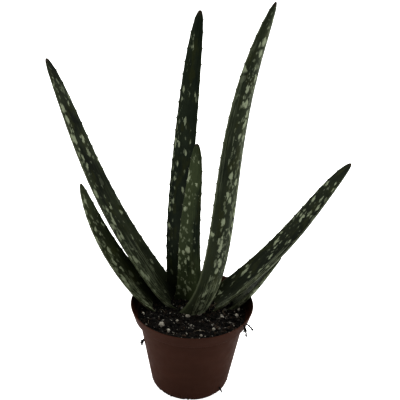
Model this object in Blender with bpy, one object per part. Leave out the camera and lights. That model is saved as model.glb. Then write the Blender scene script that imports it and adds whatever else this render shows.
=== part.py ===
"""A young potted aloe: seven fleshy leaves on a short buried stem, in gritty soil that fills a
round plastic nursery pot. Metres, +Z up; the pot stands on z = 0 with its axis on the Z axis."""

import math
import random
from dataclasses import dataclass

import bmesh
import bpy
from mathutils import Matrix, Vector

MM = 0.001

# Pot: a thin tapered cup with a wider collar, all one wall thick
RIM_RADIUS = 60.0 * MM
POT_HEIGHT = 92.0 * MM
COLLAR_HEIGHT = 13.0 * MM
COLLAR_FOOT_RADIUS = 56.2 * MM
SHOULDER_RADIUS = 51.6 * MM
SHOULDER_DROP = 1.6 * MM
HEEL_RADIUS = 38.6 * MM
HEEL_HEIGHT = 6.5 * MM
HEEL_ROUNDING = 1.3 * MM
FOOT_RADIUS = 34.8 * MM
FOOT_INNER_RADIUS = 29.0 * MM
DISC_RADIUS = 18.0 * MM
RECESS_DEPTH = 1.2 * MM
LIP_ROUNDING = 0.5 * MM
WALL = 1.0 * MM
POT_STEPS = 72

# Drain slots through the bottom corner
DRAIN_COUNT = 8
DRAIN_WIDTH = 9.0 * MM
DRAIN_HEIGHT = 3.2 * MM
DRAIN_INNER_RADIUS = 31.5 * MM

# Soil: edge and mound are set from the rim down
SOIL_EDGE_BELOW_RIM = 12.6 * MM
SOIL_RISE = 4.6 * MM
SOIL_STEPS = 48
SOIL_RINGS = 9
SOIL_LUMP = 0.5 * MM

# Crown: the point that the leaves grow from, placed from the pot axis and the top of the soil
CROWN_X = -3.0 * MM
CROWN_Y = 15.0 * MM
CROWN_DEPTH = 22.0 * MM
STEM_RADIUS = 10.0 * MM
STEM_ABOVE_CROWN = 4.0 * MM
STEM_BELOW_CROWN = 22.0 * MM
STEM_FOOT_RADIUS = 6.5 * MM

# Gap between pieces that touch on the real plant
CLEARANCE = 0.4 * MM

# Leaf cross-section, as shares of the leaf thickness
BACK_SHARE = 0.88
FACE_SHARE = 0.12
CHANNEL_SHARE = 0.25
LEAF_POINTS = 14
LEAF_STATIONS = 22
SPINE_STEPS = 220

# Foot of each leaf, where it widens and curls round the stem
CLASP_LENGTH = 34.0 * MM
CLASP_WIDENING = 0.45
CLASP_CURL = 8.5 * MM

PERLITE_SUNK = 0.35
PERLITE_ROUGHNESS = 0.16


@dataclass(frozen=True)
class Leaf:
    """One leaf: lengths in millimetres, angles in degrees."""

    name: str
    root: tuple  # x and y from the crown
    heading: float  # compass direction of the leaf, from +X towards +Y
    leans: tuple  # angle from upright at the base, one third, two thirds and the tip
    length: float
    width: float
    thickness: float
    foot_roll: float  # turn of the blade about its own length where it clasps the stem
    roll: float  # the same turn above there
    taper: float  # share of the width lost from base to tip before the point begins
    point: float  # how late the point begins: larger is later
    bluntness: float  # smaller is blunter


# Youngest first: each leaf is cut back by those before it
LEAVES = (
    Leaf("leaf_centre_short", (1, -2.5), 42, (3, -3, 4.5, -2), 196, 25, 11, 0, 32, 0.19, 2.1, 0.39),
    Leaf("leaf_front_tall", (-5, -5), -36, (38, 7, 9, 21.5), 365, 27, 11.25, 0, -17, 0.14, 3.7, 0.49),
    Leaf("leaf_back_tall", (-3, 19), 58, (-27.5, 1.5, 7, 15), 319, 24, 10, 0, 15, 0.11, 3.3, 0.41),
    Leaf("leaf_left_long", (-2.5, 0), 171.5, (33, 31, 21.5, 24.5), 300, 27, 10.75, 25, -30, 0.27, 3.6, 0.43),
    Leaf("leaf_right_long", (6, -1), 1.5, (37, 42.5, 33.5, 40), 228, 25, 10.25, 0, 25, 0.08, 3.7, 0.48),
    Leaf("leaf_left_small", (-17, -1.5), 182, (42, 35.5, 25, 15.5), 178, 25, 9.75, 6, -35, 0.15, 3.2, 0.55),
    Leaf("leaf_right_small", (18.5, 1), 2.5, (53, 46, 37.5, 46), 102, 23, 10, 0, -1, 0.16, 2.4, 0.61),
)

# Perlite grains in the top of the soil: x, y and radius in millimetres
PERLITE = (
    (-29.0, -25.5, 3.4),
    (-22.0, -34.0, 2.3),
    (-4.0, -13.0, 2.4),
    (29.5, -10.0, 2.2),
    (44.0, -4.0, 2.3),
    (21.5, -30.0, 2.0),
    (9.5, -40.5, 2.1),
    (-47.5, -5.0, 2.0),
    (46.5, 6.5, 1.9),
    (-14.0, -20.0, 1.8),
)

POT_COLOUR = (0.062, 0.030, 0.022)
SOIL_COLOUR = (0.014, 0.012, 0.010)
STEM_COLOUR = (0.160, 0.150, 0.070)
LEAF_COLOUR = (0.050, 0.066, 0.030)
PERLITE_COLOUR = (0.520, 0.500, 0.460)


def clear_scene():
    for obj in list(bpy.data.objects):
        bpy.data.objects.remove(obj, do_unlink=True)


def material(name, colour, roughness):
    made = bpy.data.materials.new(name)
    made.use_nodes = True
    shader = made.node_tree.nodes["Principled BSDF"]
    shader.inputs["Base Color"].default_value = (*colour, 1.0)
    shader.inputs["Roughness"].default_value = roughness
    shader.inputs["Metallic"].default_value = 0.0
    return made


def object_from(name, points, faces):
    """A closed mesh object with its faces turned outwards."""
    mesh = bpy.data.meshes.new(name)
    mesh.from_pydata([tuple(point) for point in points], [], faces)
    work = bmesh.new()
    work.from_mesh(mesh)
    bmesh.ops.recalc_face_normals(work, faces=work.faces)
    work.to_mesh(mesh)
    work.free()
    obj = bpy.data.objects.new(name, mesh)
    bpy.context.scene.collection.objects.link(obj)
    return obj


def finish(obj, colour, roughness, crease=35.0):
    obj.data.materials.append(material(obj.name + "_material", colour, roughness))
    obj.data.shade_smooth()
    obj.data.set_sharp_from_angle(angle=math.radians(crease))


def as_cutter(obj):
    obj.hide_render = True
    obj.display_type = "WIRE"
    return obj


def cut(obj, cutters):
    """Takes the cutters out of the object and drops any offcut that comes loose."""
    for cutter in cutters:
        boolean = obj.modifiers.new("cut_" + cutter.name, "BOOLEAN")
        boolean.operation = "DIFFERENCE"
        boolean.solver = "EXACT"
        boolean.object = cutter
    graph = bpy.context.evaluated_depsgraph_get()
    work = bmesh.new()
    work.from_mesh(obj.evaluated_get(graph).to_mesh())
    obj.modifiers.clear()
    bmesh.ops.remove_doubles(work, verts=work.verts, dist=0.002 * MM)
    pieces = loose_pieces(work)
    pieces.sort(key=len)
    offcuts = [vertex for piece in pieces[:-1] for vertex in piece]
    bmesh.ops.delete(work, geom=offcuts, context="VERTS")
    work.to_mesh(obj.data)
    work.free()


def loose_pieces(work):
    found = []
    seen = set()
    for start in work.verts:
        if start in seen:
            continue
        piece = []
        queue = [start]
        seen.add(start)
        while queue:
            vertex = queue.pop()
            piece.append(vertex)
            for edge in vertex.link_edges:
                other = edge.other_vert(vertex)
                if other not in seen:
                    seen.add(other)
                    queue.append(other)
        found.append(piece)
    return found


def ring_surface(rings, closing_faces):
    """Triangles of a tube of equal rings, each an index list, joined to its closing faces."""
    faces = list(closing_faces)
    for lower, upper in zip(rings, rings[1:]):
        count = len(lower)
        for i in range(count):
            j = (i + 1) % count
            faces.append((lower[i], lower[j], upper[j]))
            faces.append((lower[i], upper[j], upper[i]))
    return faces


def lathe(name, profile, steps, lumpy_from=None, lump=0.0):
    """Turns a profile of (radius, height) about Z; it starts and ends on the axis.

    Points from the lumpy_from-th of the profile on are raised or lowered by up to the lump.
    """
    noise = random.Random(5)
    points = [(0.0, 0.0, profile[0][1])]
    rings = []
    for place, (radius, height) in enumerate(profile[1:-1], start=1):
        start = len(points)
        lumpy = lumpy_from is not None and place >= lumpy_from
        for i in range(steps):
            angle = 2 * math.pi * i / steps
            extra = noise.uniform(-lump, lump) if lumpy else 0.0
            points.append((radius * math.cos(angle), radius * math.sin(angle), height + extra))
        rings.append(list(range(start, start + steps)))
    points.append((0.0, 0.0, profile[-1][1]))
    last = len(points) - 1
    fans = []
    for i in range(steps):
        j = (i + 1) % steps
        fans.append((0, rings[0][j], rings[0][i]))
        fans.append((last, rings[-1][i], rings[-1][j]))
    return object_from(name, points, ring_surface(rings, fans))


def left_of(start, end):
    """Direction square to the way from start to end, on its left."""
    way = (end - start).normalized()
    return Vector((-way.y, way.x))


def corner_moved(point, left_before, left_after, distance):
    """The corner of two lines that both move to their left by the distance."""
    middle = (left_before + left_after).normalized()
    return point + middle * (distance / middle.dot(left_before))


def offset_line(line, distance):
    """The open line moved to its left by the distance; an end on the axis stays on it."""
    line = [Vector(point) for point in line]
    lefts = [left_of(start, end) for start, end in zip(line, line[1:])]
    moved = []
    for point, before, after in zip(line, lefts[:1] + lefts, lefts + lefts[-1:]):
        corner = corner_moved(point, before, after, distance)
        moved.append((max(0.0, corner.x), corner.y))
    return moved


def offset_outline(outline, distance):
    """The closed outline, which runs anticlockwise, moved outwards by the distance."""
    lefts = [left_of(outline[i - 1], outline[i]) for i in range(len(outline))]
    moved = []
    for i, point in enumerate(outline):
        after = lefts[(i + 1) % len(outline)]
        moved.append(corner_moved(point, lefts[i], after, -distance))
    return moved


def pot_outside():
    """Outer line of the pot, from the centre of its underside up to the rim."""
    collar_foot = POT_HEIGHT - COLLAR_HEIGHT
    return [
        (0.0, 0.0),
        (DISC_RADIUS, 0.0),
        (DISC_RADIUS + RECESS_DEPTH, RECESS_DEPTH),
        (FOOT_INNER_RADIUS - RECESS_DEPTH, RECESS_DEPTH),
        (FOOT_INNER_RADIUS, 0.0),
        (FOOT_RADIUS, 0.0),
        (HEEL_RADIUS - HEEL_ROUNDING, HEEL_HEIGHT / 2 - HEEL_ROUNDING / 2),
        (HEEL_RADIUS, HEEL_HEIGHT),
        (SHOULDER_RADIUS, collar_foot - SHOULDER_DROP),
        (COLLAR_FOOT_RADIUS, collar_foot),
        (RIM_RADIUS, POT_HEIGHT - LIP_ROUNDING),
    ]


def pot_inside():
    return offset_line(pot_outside(), WALL)


def pot_room():
    """The pot's wall grown by the clearance: what the leaves keep out of."""
    outside = offset_line(pot_outside(), -CLEARANCE)
    inside = offset_line(pot_inside(), CLEARANCE)
    top = POT_HEIGHT + CLEARANCE
    lip = [(outside[-1][0], top), (inside[-1][0], top)]
    return as_cutter(lathe("pot_room", outside + lip + inside[::-1], POT_STEPS))


def drain_cutter():
    points = []
    faces = []
    outer = HEEL_RADIUS + 4 * WALL
    for k in range(DRAIN_COUNT):
        angle = -math.pi / 2 + 2 * math.pi * k / DRAIN_COUNT
        out = Vector((math.cos(angle), math.sin(angle), 0))
        side = Vector((-out.y, out.x, 0)) * DRAIN_WIDTH / 2
        start = len(points)
        for height in (-4 * WALL, DRAIN_HEIGHT):
            up = Vector((0, 0, height))
            for radius, turn in (
                (DRAIN_INNER_RADIUS, -1),
                (outer, -1),
                (outer, 1),
                (DRAIN_INNER_RADIUS, 1),
            ):
                points.append(out * radius + side * turn + up)
        lower = list(range(start, start + 4))
        upper = list(range(start + 4, start + 8))
        faces += ring_surface([lower, upper], [tuple(reversed(lower)), tuple(upper)])
    return as_cutter(object_from("drain_cutter", points, faces))


def make_pot():
    outside = pot_outside()
    inside = pot_inside()
    lip = [(RIM_RADIUS - WALL / 2, POT_HEIGHT)]
    pot = lathe("pot", outside + lip + inside[::-1], POT_STEPS)
    cut(pot, [drain_cutter()])
    finish(pot, POT_COLOUR, 0.45, 30.0)


def soil_side():
    """Outer line of the soil: the inside of the pot less the clearance, up to the soil's edge."""
    edge = POT_HEIGHT - SOIL_EDGE_BELOW_RIM
    side = []
    previous = None
    for radius, height in offset_line(pot_inside(), CLEARANCE):
        if height > edge:
            share = (edge - previous[1]) / (height - previous[1])
            side.append((previous[0] + (radius - previous[0]) * share, edge))
            return side
        previous = (radius, height)
        side.append(previous)
    return side


def soil_height(radius):
    """Height of the soil's surface at this distance from the pot's axis."""
    edge_radius, edge = soil_side()[-1]
    return edge + SOIL_RISE * max(0.0, 1 - (radius / edge_radius) ** 2)


def crown_height():
    return soil_height(0.0) - CROWN_DEPTH


def make_soil(cutters):
    """The block of soil, its top gently lumpy, with room left for all that grows or lies in it."""
    side = soil_side()
    edge_radius = side[-1][0]
    top = []
    for ring in range(1, SOIL_RINGS + 1):
        radius = edge_radius * (1 - ring / (SOIL_RINGS + 1))
        top.append((radius, soil_height(radius)))
    profile = side + top + [(0.0, soil_height(0.0))]
    soil = lathe("soil", profile, SOIL_STEPS, len(side), SOIL_LUMP)
    cut(soil, cutters)
    finish(soil, SOIL_COLOUR, 0.95, 60.0)


def stem_solid(name, grown):
    """The buried stem, or the room it needs when grown by the clearance."""
    crown = crown_height()
    top = crown + STEM_ABOVE_CROWN + grown
    bottom = crown - STEM_BELOW_CROWN - grown
    radius = STEM_RADIUS + grown
    profile = [
        (0.0, bottom),
        (STEM_FOOT_RADIUS + grown, bottom),
        (radius, crown - STEM_BELOW_CROWN / 2),
        (radius, crown),
        (radius * 0.8, top - STEM_ABOVE_CROWN / 3),
        (radius * 0.4, top),
        (0.0, top),
    ]
    stem = lathe(name, profile, 24)
    stem.data.transform(Matrix.Translation((CROWN_X, CROWN_Y, 0.0)))
    return stem


def through_four(values, t):
    """The curve through the four values at t = 0, 1/3, 2/3 and 1."""
    u = 3 * t
    return (
        values[0] * (1 - u) * (2 - u) * (3 - u) / 6
        + values[1] * u * (2 - u) * (3 - u) / 2
        + values[2] * u * (u - 1) * (3 - u) / 2
        + values[3] * u * (u - 1) * (u - 2) / 6
    )


def growing_way(leaf, t):
    """Direction in which the leaf grows at t, its share of the length."""
    lean = math.radians(through_four(leaf.leans, t))
    heading = math.radians(leaf.heading)
    level = math.sin(lean)
    return Vector((level * math.cos(heading), level * math.sin(heading), math.cos(lean)))


def spine(leaf):
    """Points along the middle of the leaf, from its root to its tip, evenly spaced."""
    root_x, root_y = leaf.root
    point = Vector((CROWN_X + root_x * MM, CROWN_Y + root_y * MM, crown_height()))
    points = [point]
    step = leaf.length * MM / SPINE_STEPS
    for i in range(SPINE_STEPS):
        point = point + growing_way(leaf, (i + 0.5) / SPINE_STEPS) * step
        points.append(point)
    return points


def fullness(leaf, t):
    """Share of the leaf's width and thickness that is left at t."""
    return (1 - leaf.taper * t) * (1 - t**leaf.point) ** leaf.bluntness


def clasp(leaf, t):
    """How fully the leaf clasps the stem at t: 1 at its root, fading to 0 above."""
    return math.exp(-((t * leaf.length * MM / CLASP_LENGTH) ** 2))


def section(leaf, t, grown):
    """Outline across the leaf at t: a rounded back and a channelled face, grown by the clearance."""
    hold = clasp(leaf, t)
    half = leaf.width * MM / 2 * fullness(leaf, t) * (1 + CLASP_WIDENING * hold)
    thick = leaf.thickness * MM * fullness(leaf, t)
    outline = []
    for i in range(LEAF_POINTS):
        angle = 2 * math.pi * i / LEAF_POINTS
        across = math.cos(angle)
        rise = math.sin(angle)
        if rise > 0:
            deep = thick * (FACE_SHARE * rise - CHANNEL_SHARE * (1 - t) * rise**2)
        else:
            deep = thick * BACK_SHARE * rise
        outline.append(Vector((half * across, deep + CLASP_CURL * hold * across**2)))
    return offset_outline(outline, grown) if grown else outline


def leaf_solid(leaf, name, grown):
    """The whole leaf before its neighbours are cut out of it."""
    along = spine(leaf)
    points = []
    rings = []
    across = Vector((-math.sin(math.radians(leaf.heading)), math.cos(math.radians(leaf.heading)), 0))
    for station in range(LEAF_STATIONS):
        t = 1 - (1 - station / LEAF_STATIONS) ** 1.5
        way = growing_way(leaf, t)
        centre = along[round(t * SPINE_STEPS)]
        if station == 0:
            centre = centre - way * grown
        face = way.cross(across)
        hold = clasp(leaf, t)
        turn = math.radians(leaf.foot_roll * hold + leaf.roll * (1 - hold))
        side = across * math.cos(turn) + face * math.sin(turn)
        face = face * math.cos(turn) - across * math.sin(turn)
        start = len(points)
        for point in section(leaf, t, grown):
            points.append(centre + side * point.x + face * point.y)
        rings.append(list(range(start, start + LEAF_POINTS)))
    tip = len(points)
    points.append(along[-1] + growing_way(leaf, 1.0) * grown * 2)
    faces = [tuple(reversed(rings[0]))]
    for i in range(LEAF_POINTS):
        faces.append((rings[-1][i], rings[-1][(i + 1) % LEAF_POINTS], tip))
    return object_from(name, points, ring_surface(rings, faces))


def make_plant():
    """Stem and leaves; returns the room that each needs in the soil."""
    stem = stem_solid("stem", 0.0)
    finish(stem, STEM_COLOUR, 0.7)
    room = [as_cutter(stem_solid("stem_room", CLEARANCE))]
    pot_wall = pot_room()
    for leaf in LEAVES:
        blade = leaf_solid(leaf, leaf.name, 0.0)
        cut(blade, [pot_wall] + room)
        finish(blade, LEAF_COLOUR, 0.42, 50.0)
        room.append(as_cutter(leaf_solid(leaf, leaf.name + "_room", CLEARANCE)))
    return room


def perlite_solid(name, x, y, radius, shape, grown):
    """One rounded, uneven grain, partly sunk in the soil."""
    noise = random.Random(shape)
    work = bmesh.new()
    bmesh.ops.create_icosphere(work, subdivisions=1, radius=radius)
    centre = Vector((x, y, soil_height(math.hypot(x, y)) + radius * (1 - 2 * PERLITE_SUNK)))
    for vertex in work.verts:
        uneven = 1 + noise.uniform(-PERLITE_ROUGHNESS, PERLITE_ROUGHNESS)
        vertex.co = centre + vertex.co * uneven + vertex.co.normalized() * grown
    mesh = bpy.data.meshes.new(name)
    work.to_mesh(mesh)
    work.free()
    obj = bpy.data.objects.new(name, mesh)
    bpy.context.scene.collection.objects.link(obj)
    return obj


def make_perlite(room):
    """The coarse perlite grains, kept out of the plant's room; returns the pockets that they lie in."""
    pockets = []
    for k, (x, y, radius) in enumerate(PERLITE, start=1):
        sizes = (x * MM, y * MM, radius * MM, k)
        grain = perlite_solid(f"perlite_{k}", *sizes, 0.0)
        cut(grain, room)
        finish(grain, PERLITE_COLOUR, 0.9, 60.0)
        pockets.append(as_cutter(perlite_solid(f"perlite_{k}_pocket", *sizes, CLEARANCE)))
    return pockets


clear_scene()
make_pot()
plant_room = make_plant()
make_soil(plant_room + make_perlite(plant_room))
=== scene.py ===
"""A young potted aloe, dressed in full: seven toothed and spotted leaves, gritty soil with perlite and
root fibres, and a thin brown nursery pot, on a plain pale floor. Metres, +Z up."""

import logging
import math
import random
from abc import ABC, abstractmethod
from dataclasses import dataclass
from enum import Enum
from typing import ClassVar

import bmesh
import bpy
import numpy as np
from mathutils import Matrix, Vector, noise


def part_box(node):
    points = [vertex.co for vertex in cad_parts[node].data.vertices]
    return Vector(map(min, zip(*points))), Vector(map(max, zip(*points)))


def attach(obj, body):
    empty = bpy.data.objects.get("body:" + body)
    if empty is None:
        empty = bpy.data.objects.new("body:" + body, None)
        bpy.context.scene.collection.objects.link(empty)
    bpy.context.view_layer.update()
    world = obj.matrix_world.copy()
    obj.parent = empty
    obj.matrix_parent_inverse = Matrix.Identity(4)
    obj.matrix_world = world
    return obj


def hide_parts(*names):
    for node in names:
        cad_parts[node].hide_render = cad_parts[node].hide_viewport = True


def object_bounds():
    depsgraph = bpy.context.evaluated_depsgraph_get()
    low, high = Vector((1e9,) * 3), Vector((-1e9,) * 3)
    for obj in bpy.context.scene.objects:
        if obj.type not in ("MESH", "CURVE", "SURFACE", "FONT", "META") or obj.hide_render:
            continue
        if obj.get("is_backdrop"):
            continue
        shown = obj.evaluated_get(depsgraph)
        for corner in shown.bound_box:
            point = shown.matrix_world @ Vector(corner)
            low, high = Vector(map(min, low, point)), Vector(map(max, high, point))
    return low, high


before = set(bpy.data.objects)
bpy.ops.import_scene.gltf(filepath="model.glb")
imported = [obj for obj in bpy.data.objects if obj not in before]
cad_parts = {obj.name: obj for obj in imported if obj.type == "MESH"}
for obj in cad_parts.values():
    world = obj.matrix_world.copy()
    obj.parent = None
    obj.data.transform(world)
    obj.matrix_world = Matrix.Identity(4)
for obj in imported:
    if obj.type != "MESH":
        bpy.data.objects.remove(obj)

LOG = logging.getLogger("potted_aloe")
MM = 0.001
Rgb = tuple[float, float, float]
Span = tuple[float, float]


# ------------------------------------------------------------------------------------------------
# Small tools for meshes
# ------------------------------------------------------------------------------------------------


def mesh_object(name: str, points: np.ndarray, faces: list[tuple[int, ...]], smooth: float = 40.0) -> bpy.types.Object:
    """Makes a mesh object and links it to the scene.

    Args:
        name: Name of the object.
        points: Vertices, in metres, one row each.
        faces: Vertex indices of each face.
        smooth: Edges sharper than this many degrees stay crisp.

    Returns:
        The new object, with its faces turned outwards.
    """
    mesh = bpy.data.meshes.new(name)
    mesh.from_pydata([tuple(point) for point in points], [], faces)
    work = bmesh.new()
    work.from_mesh(mesh)
    bmesh.ops.recalc_face_normals(work, faces=work.faces)
    work.to_mesh(mesh)
    work.free()
    mesh.shade_smooth()
    mesh.set_sharp_from_angle(angle=math.radians(smooth))
    made = bpy.data.objects.new(name, mesh)
    bpy.context.scene.collection.objects.link(made)
    return made


def write_values(piece: bpy.types.Object, name: str, values: np.ndarray) -> None:
    """Stores three numbers for each vertex, for the finish to read.

    Args:
        piece: The mesh object.
        name: Name of the attribute.
        values: One row of three numbers for each vertex.
    """
    layer = piece.data.attributes.new(name, "FLOAT_VECTOR", "POINT")
    layer.data.foreach_set("vector", np.asarray(values, np.float32).ravel())


def tube_faces(rings: int, around: int, start: int = 0) -> list[tuple[int, ...]]:
    """Quads between equal rings of vertices that follow each other.

    Args:
        rings: How many rings there are.
        around: How many vertices each ring has.
        start: Index of the first vertex.

    Returns:
        The faces, as vertex indices.
    """
    faces = []
    for ring in range(rings - 1):
        low = start + ring * around
        for i in range(around):
            j = (i + 1) % around
            faces.append((low + i, low + j, low + around + j, low + around + i))
    return faces


def lathe_points(profile: list[Span], steps: int) -> np.ndarray:
    """Turns a profile of (radius, height) about the Z axis.

    Args:
        profile: Points of the profile, none of them on the axis.
        steps: How many points go round.

    Returns:
        The vertices, ring by ring.
    """
    angles = np.linspace(0, 2 * math.pi, steps, endpoint=False)
    rings = []
    for radius, height in profile:
        rings.append(np.stack([radius * np.cos(angles), radius * np.sin(angles), np.full(steps, height)], 1))
    return np.concatenate(rings)


def rounded_line(line: list[Span], radii: list[float], steps: int = 5) -> list[Span]:
    """Rounds the inner corners of an open line.

    Args:
        line: Points of the line.
        radii: How far from each corner its rounding begins; 0 keeps the corner.
        steps: Points in each rounding.

    Returns:
        The line with its roundings.
    """
    made = [line[0]]
    for before, corner, after, reach in zip(line, line[1:], line[2:], radii[1:]):
        if reach <= 0:
            made.append(corner)
            continue
        here = Vector(corner)
        start = here + (Vector(before) - here).normalized() * reach
        end = here + (Vector(after) - here).normalized() * reach
        for step in range(steps + 1):
            t = step / steps
            point = start * (1 - t) ** 2 + here * 2 * t * (1 - t) + end * t**2
            made.append((point.x, point.y))
    made.append(line[-1])
    return made


def random_turn(dice: random.Random) -> Matrix:
    """A rotation drawn at random."""
    axis = Vector((dice.gauss(0, 1), dice.gauss(0, 1), dice.gauss(0, 1)))
    return Matrix.Rotation(dice.uniform(0, 2 * math.pi), 3, axis.normalized())


def smooth_step(value: float, low: float, high: float) -> float:
    """Rises smoothly from 0 at low to 1 at high."""
    t = min(1.0, max(0.0, (value - low) / (high - low)))
    return t * t * (3 - 2 * t)


def window(value: float, span: Span, edge: float) -> float:
    """1 inside the span, fading to 0 over the edge on each side."""
    rise = smooth_step(value, span[0] - edge, span[0] + edge)
    return rise * (1 - smooth_step(value, span[1] - edge, span[1] + edge))


@dataclass
class Scatter:
    """Gathers many small solids into one mesh, with three numbers kept for each."""

    name: str

    def __post_init__(self) -> None:
        """Starts with nothing gathered."""
        self.points: list[np.ndarray] = []
        self.values: list[np.ndarray] = []
        self.faces: list[tuple[int, ...]] = []
        self.count = 0

    def add(self, points: np.ndarray, faces: list[tuple[int, ...]], values: np.ndarray) -> None:
        """Adds one small solid.

        Args:
            points: Its vertices, in place.
            faces: Its faces, as indices into its own vertices.
            values: Three numbers for the whole solid, or one row for each vertex.
        """
        self.points.append(points)
        self.values.append(np.broadcast_to(values, (len(points), 3)))
        self.faces += [tuple(i + self.count for i in face) for face in faces]
        self.count += len(points)

    def build(self, smooth: float) -> bpy.types.Object:
        """Makes the object.

        Args:
            smooth: Edges sharper than this many degrees stay crisp.

        Returns:
            The object, with the numbers in its "own" attribute.
        """
        made = mesh_object(self.name, np.concatenate(self.points), self.faces, smooth)
        write_values(made, "own", np.concatenate(self.values))
        return made


@dataclass(frozen=True)
class Shard:
    """One angular crumb shape of unit size: the hull of a few random points."""

    points: np.ndarray
    faces: list[tuple[int, ...]]

    @classmethod
    def drawn(cls, dice: random.Random, corners: int, flatness: float) -> "Shard":
        """Draws a crumb shape.

        Args:
            dice: Source of the random numbers.
            corners: How many points the hull is drawn from.
            flatness: Height of the crumb as a share of its width.

        Returns:
            The crumb.
        """
        work = bmesh.new()
        for _ in range(corners):
            way = Vector((dice.gauss(0, 1), dice.gauss(0, 1), dice.gauss(0, 1))).normalized()
            reach = dice.uniform(0.78, 1.0)
            work.verts.new((way.x * reach, way.y * reach, way.z * reach * flatness))
        made = bmesh.ops.convex_hull(work, input=work.verts)
        inner = [item for item in made["geom_interior"] if isinstance(item, bmesh.types.BMVert)]
        bmesh.ops.delete(work, geom=inner, context="VERTS")
        work.verts.index_update()
        points = np.array([vertex.co for vertex in work.verts])
        faces = [tuple(vertex.index for vertex in face.verts) for face in work.faces]
        work.free()
        return cls(points, faces)

    def placed(self, centre: Vector, size: Vector, turn: Matrix) -> np.ndarray:
        """Its vertices when sized, turned and moved to the centre."""
        return (self.points * np.array(size)) @ np.array(turn).T + np.array(centre)


def thread(points: list[Vector], radius: float, around: int = 6) -> tuple[np.ndarray, list[tuple[int, ...]]]:
    """A thin round thread that tapers at both ends.

    Args:
        points: Its middle line.
        radius: Its largest radius.
        around: Points round it.

    Returns:
        Its vertices and faces.
    """
    rings = []
    side = Vector((0, 0, 1))
    for i, point in enumerate(points):
        way = (points[min(i + 1, len(points) - 1)] - points[max(i - 1, 0)]).normalized()
        side = (side - way * side.dot(way)).normalized()
        other = way.cross(side)
        share = i / (len(points) - 1)
        here = radius * (0.35 + 0.65 * math.sin(math.pi * (0.08 + 0.84 * share)))
        for k in range(around):
            angle = 2 * math.pi * k / around
            rings.append(point + side * math.cos(angle) * here + other * math.sin(angle) * here)
    faces = tube_faces(len(points), around)
    last = (len(points) - 1) * around
    faces.append(tuple(range(around))[::-1])
    faces.append(tuple(range(last, last + around)))
    return np.array([tuple(point) for point in rings]), faces


# ------------------------------------------------------------------------------------------------
# Small tools for finishes
# ------------------------------------------------------------------------------------------------


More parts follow.
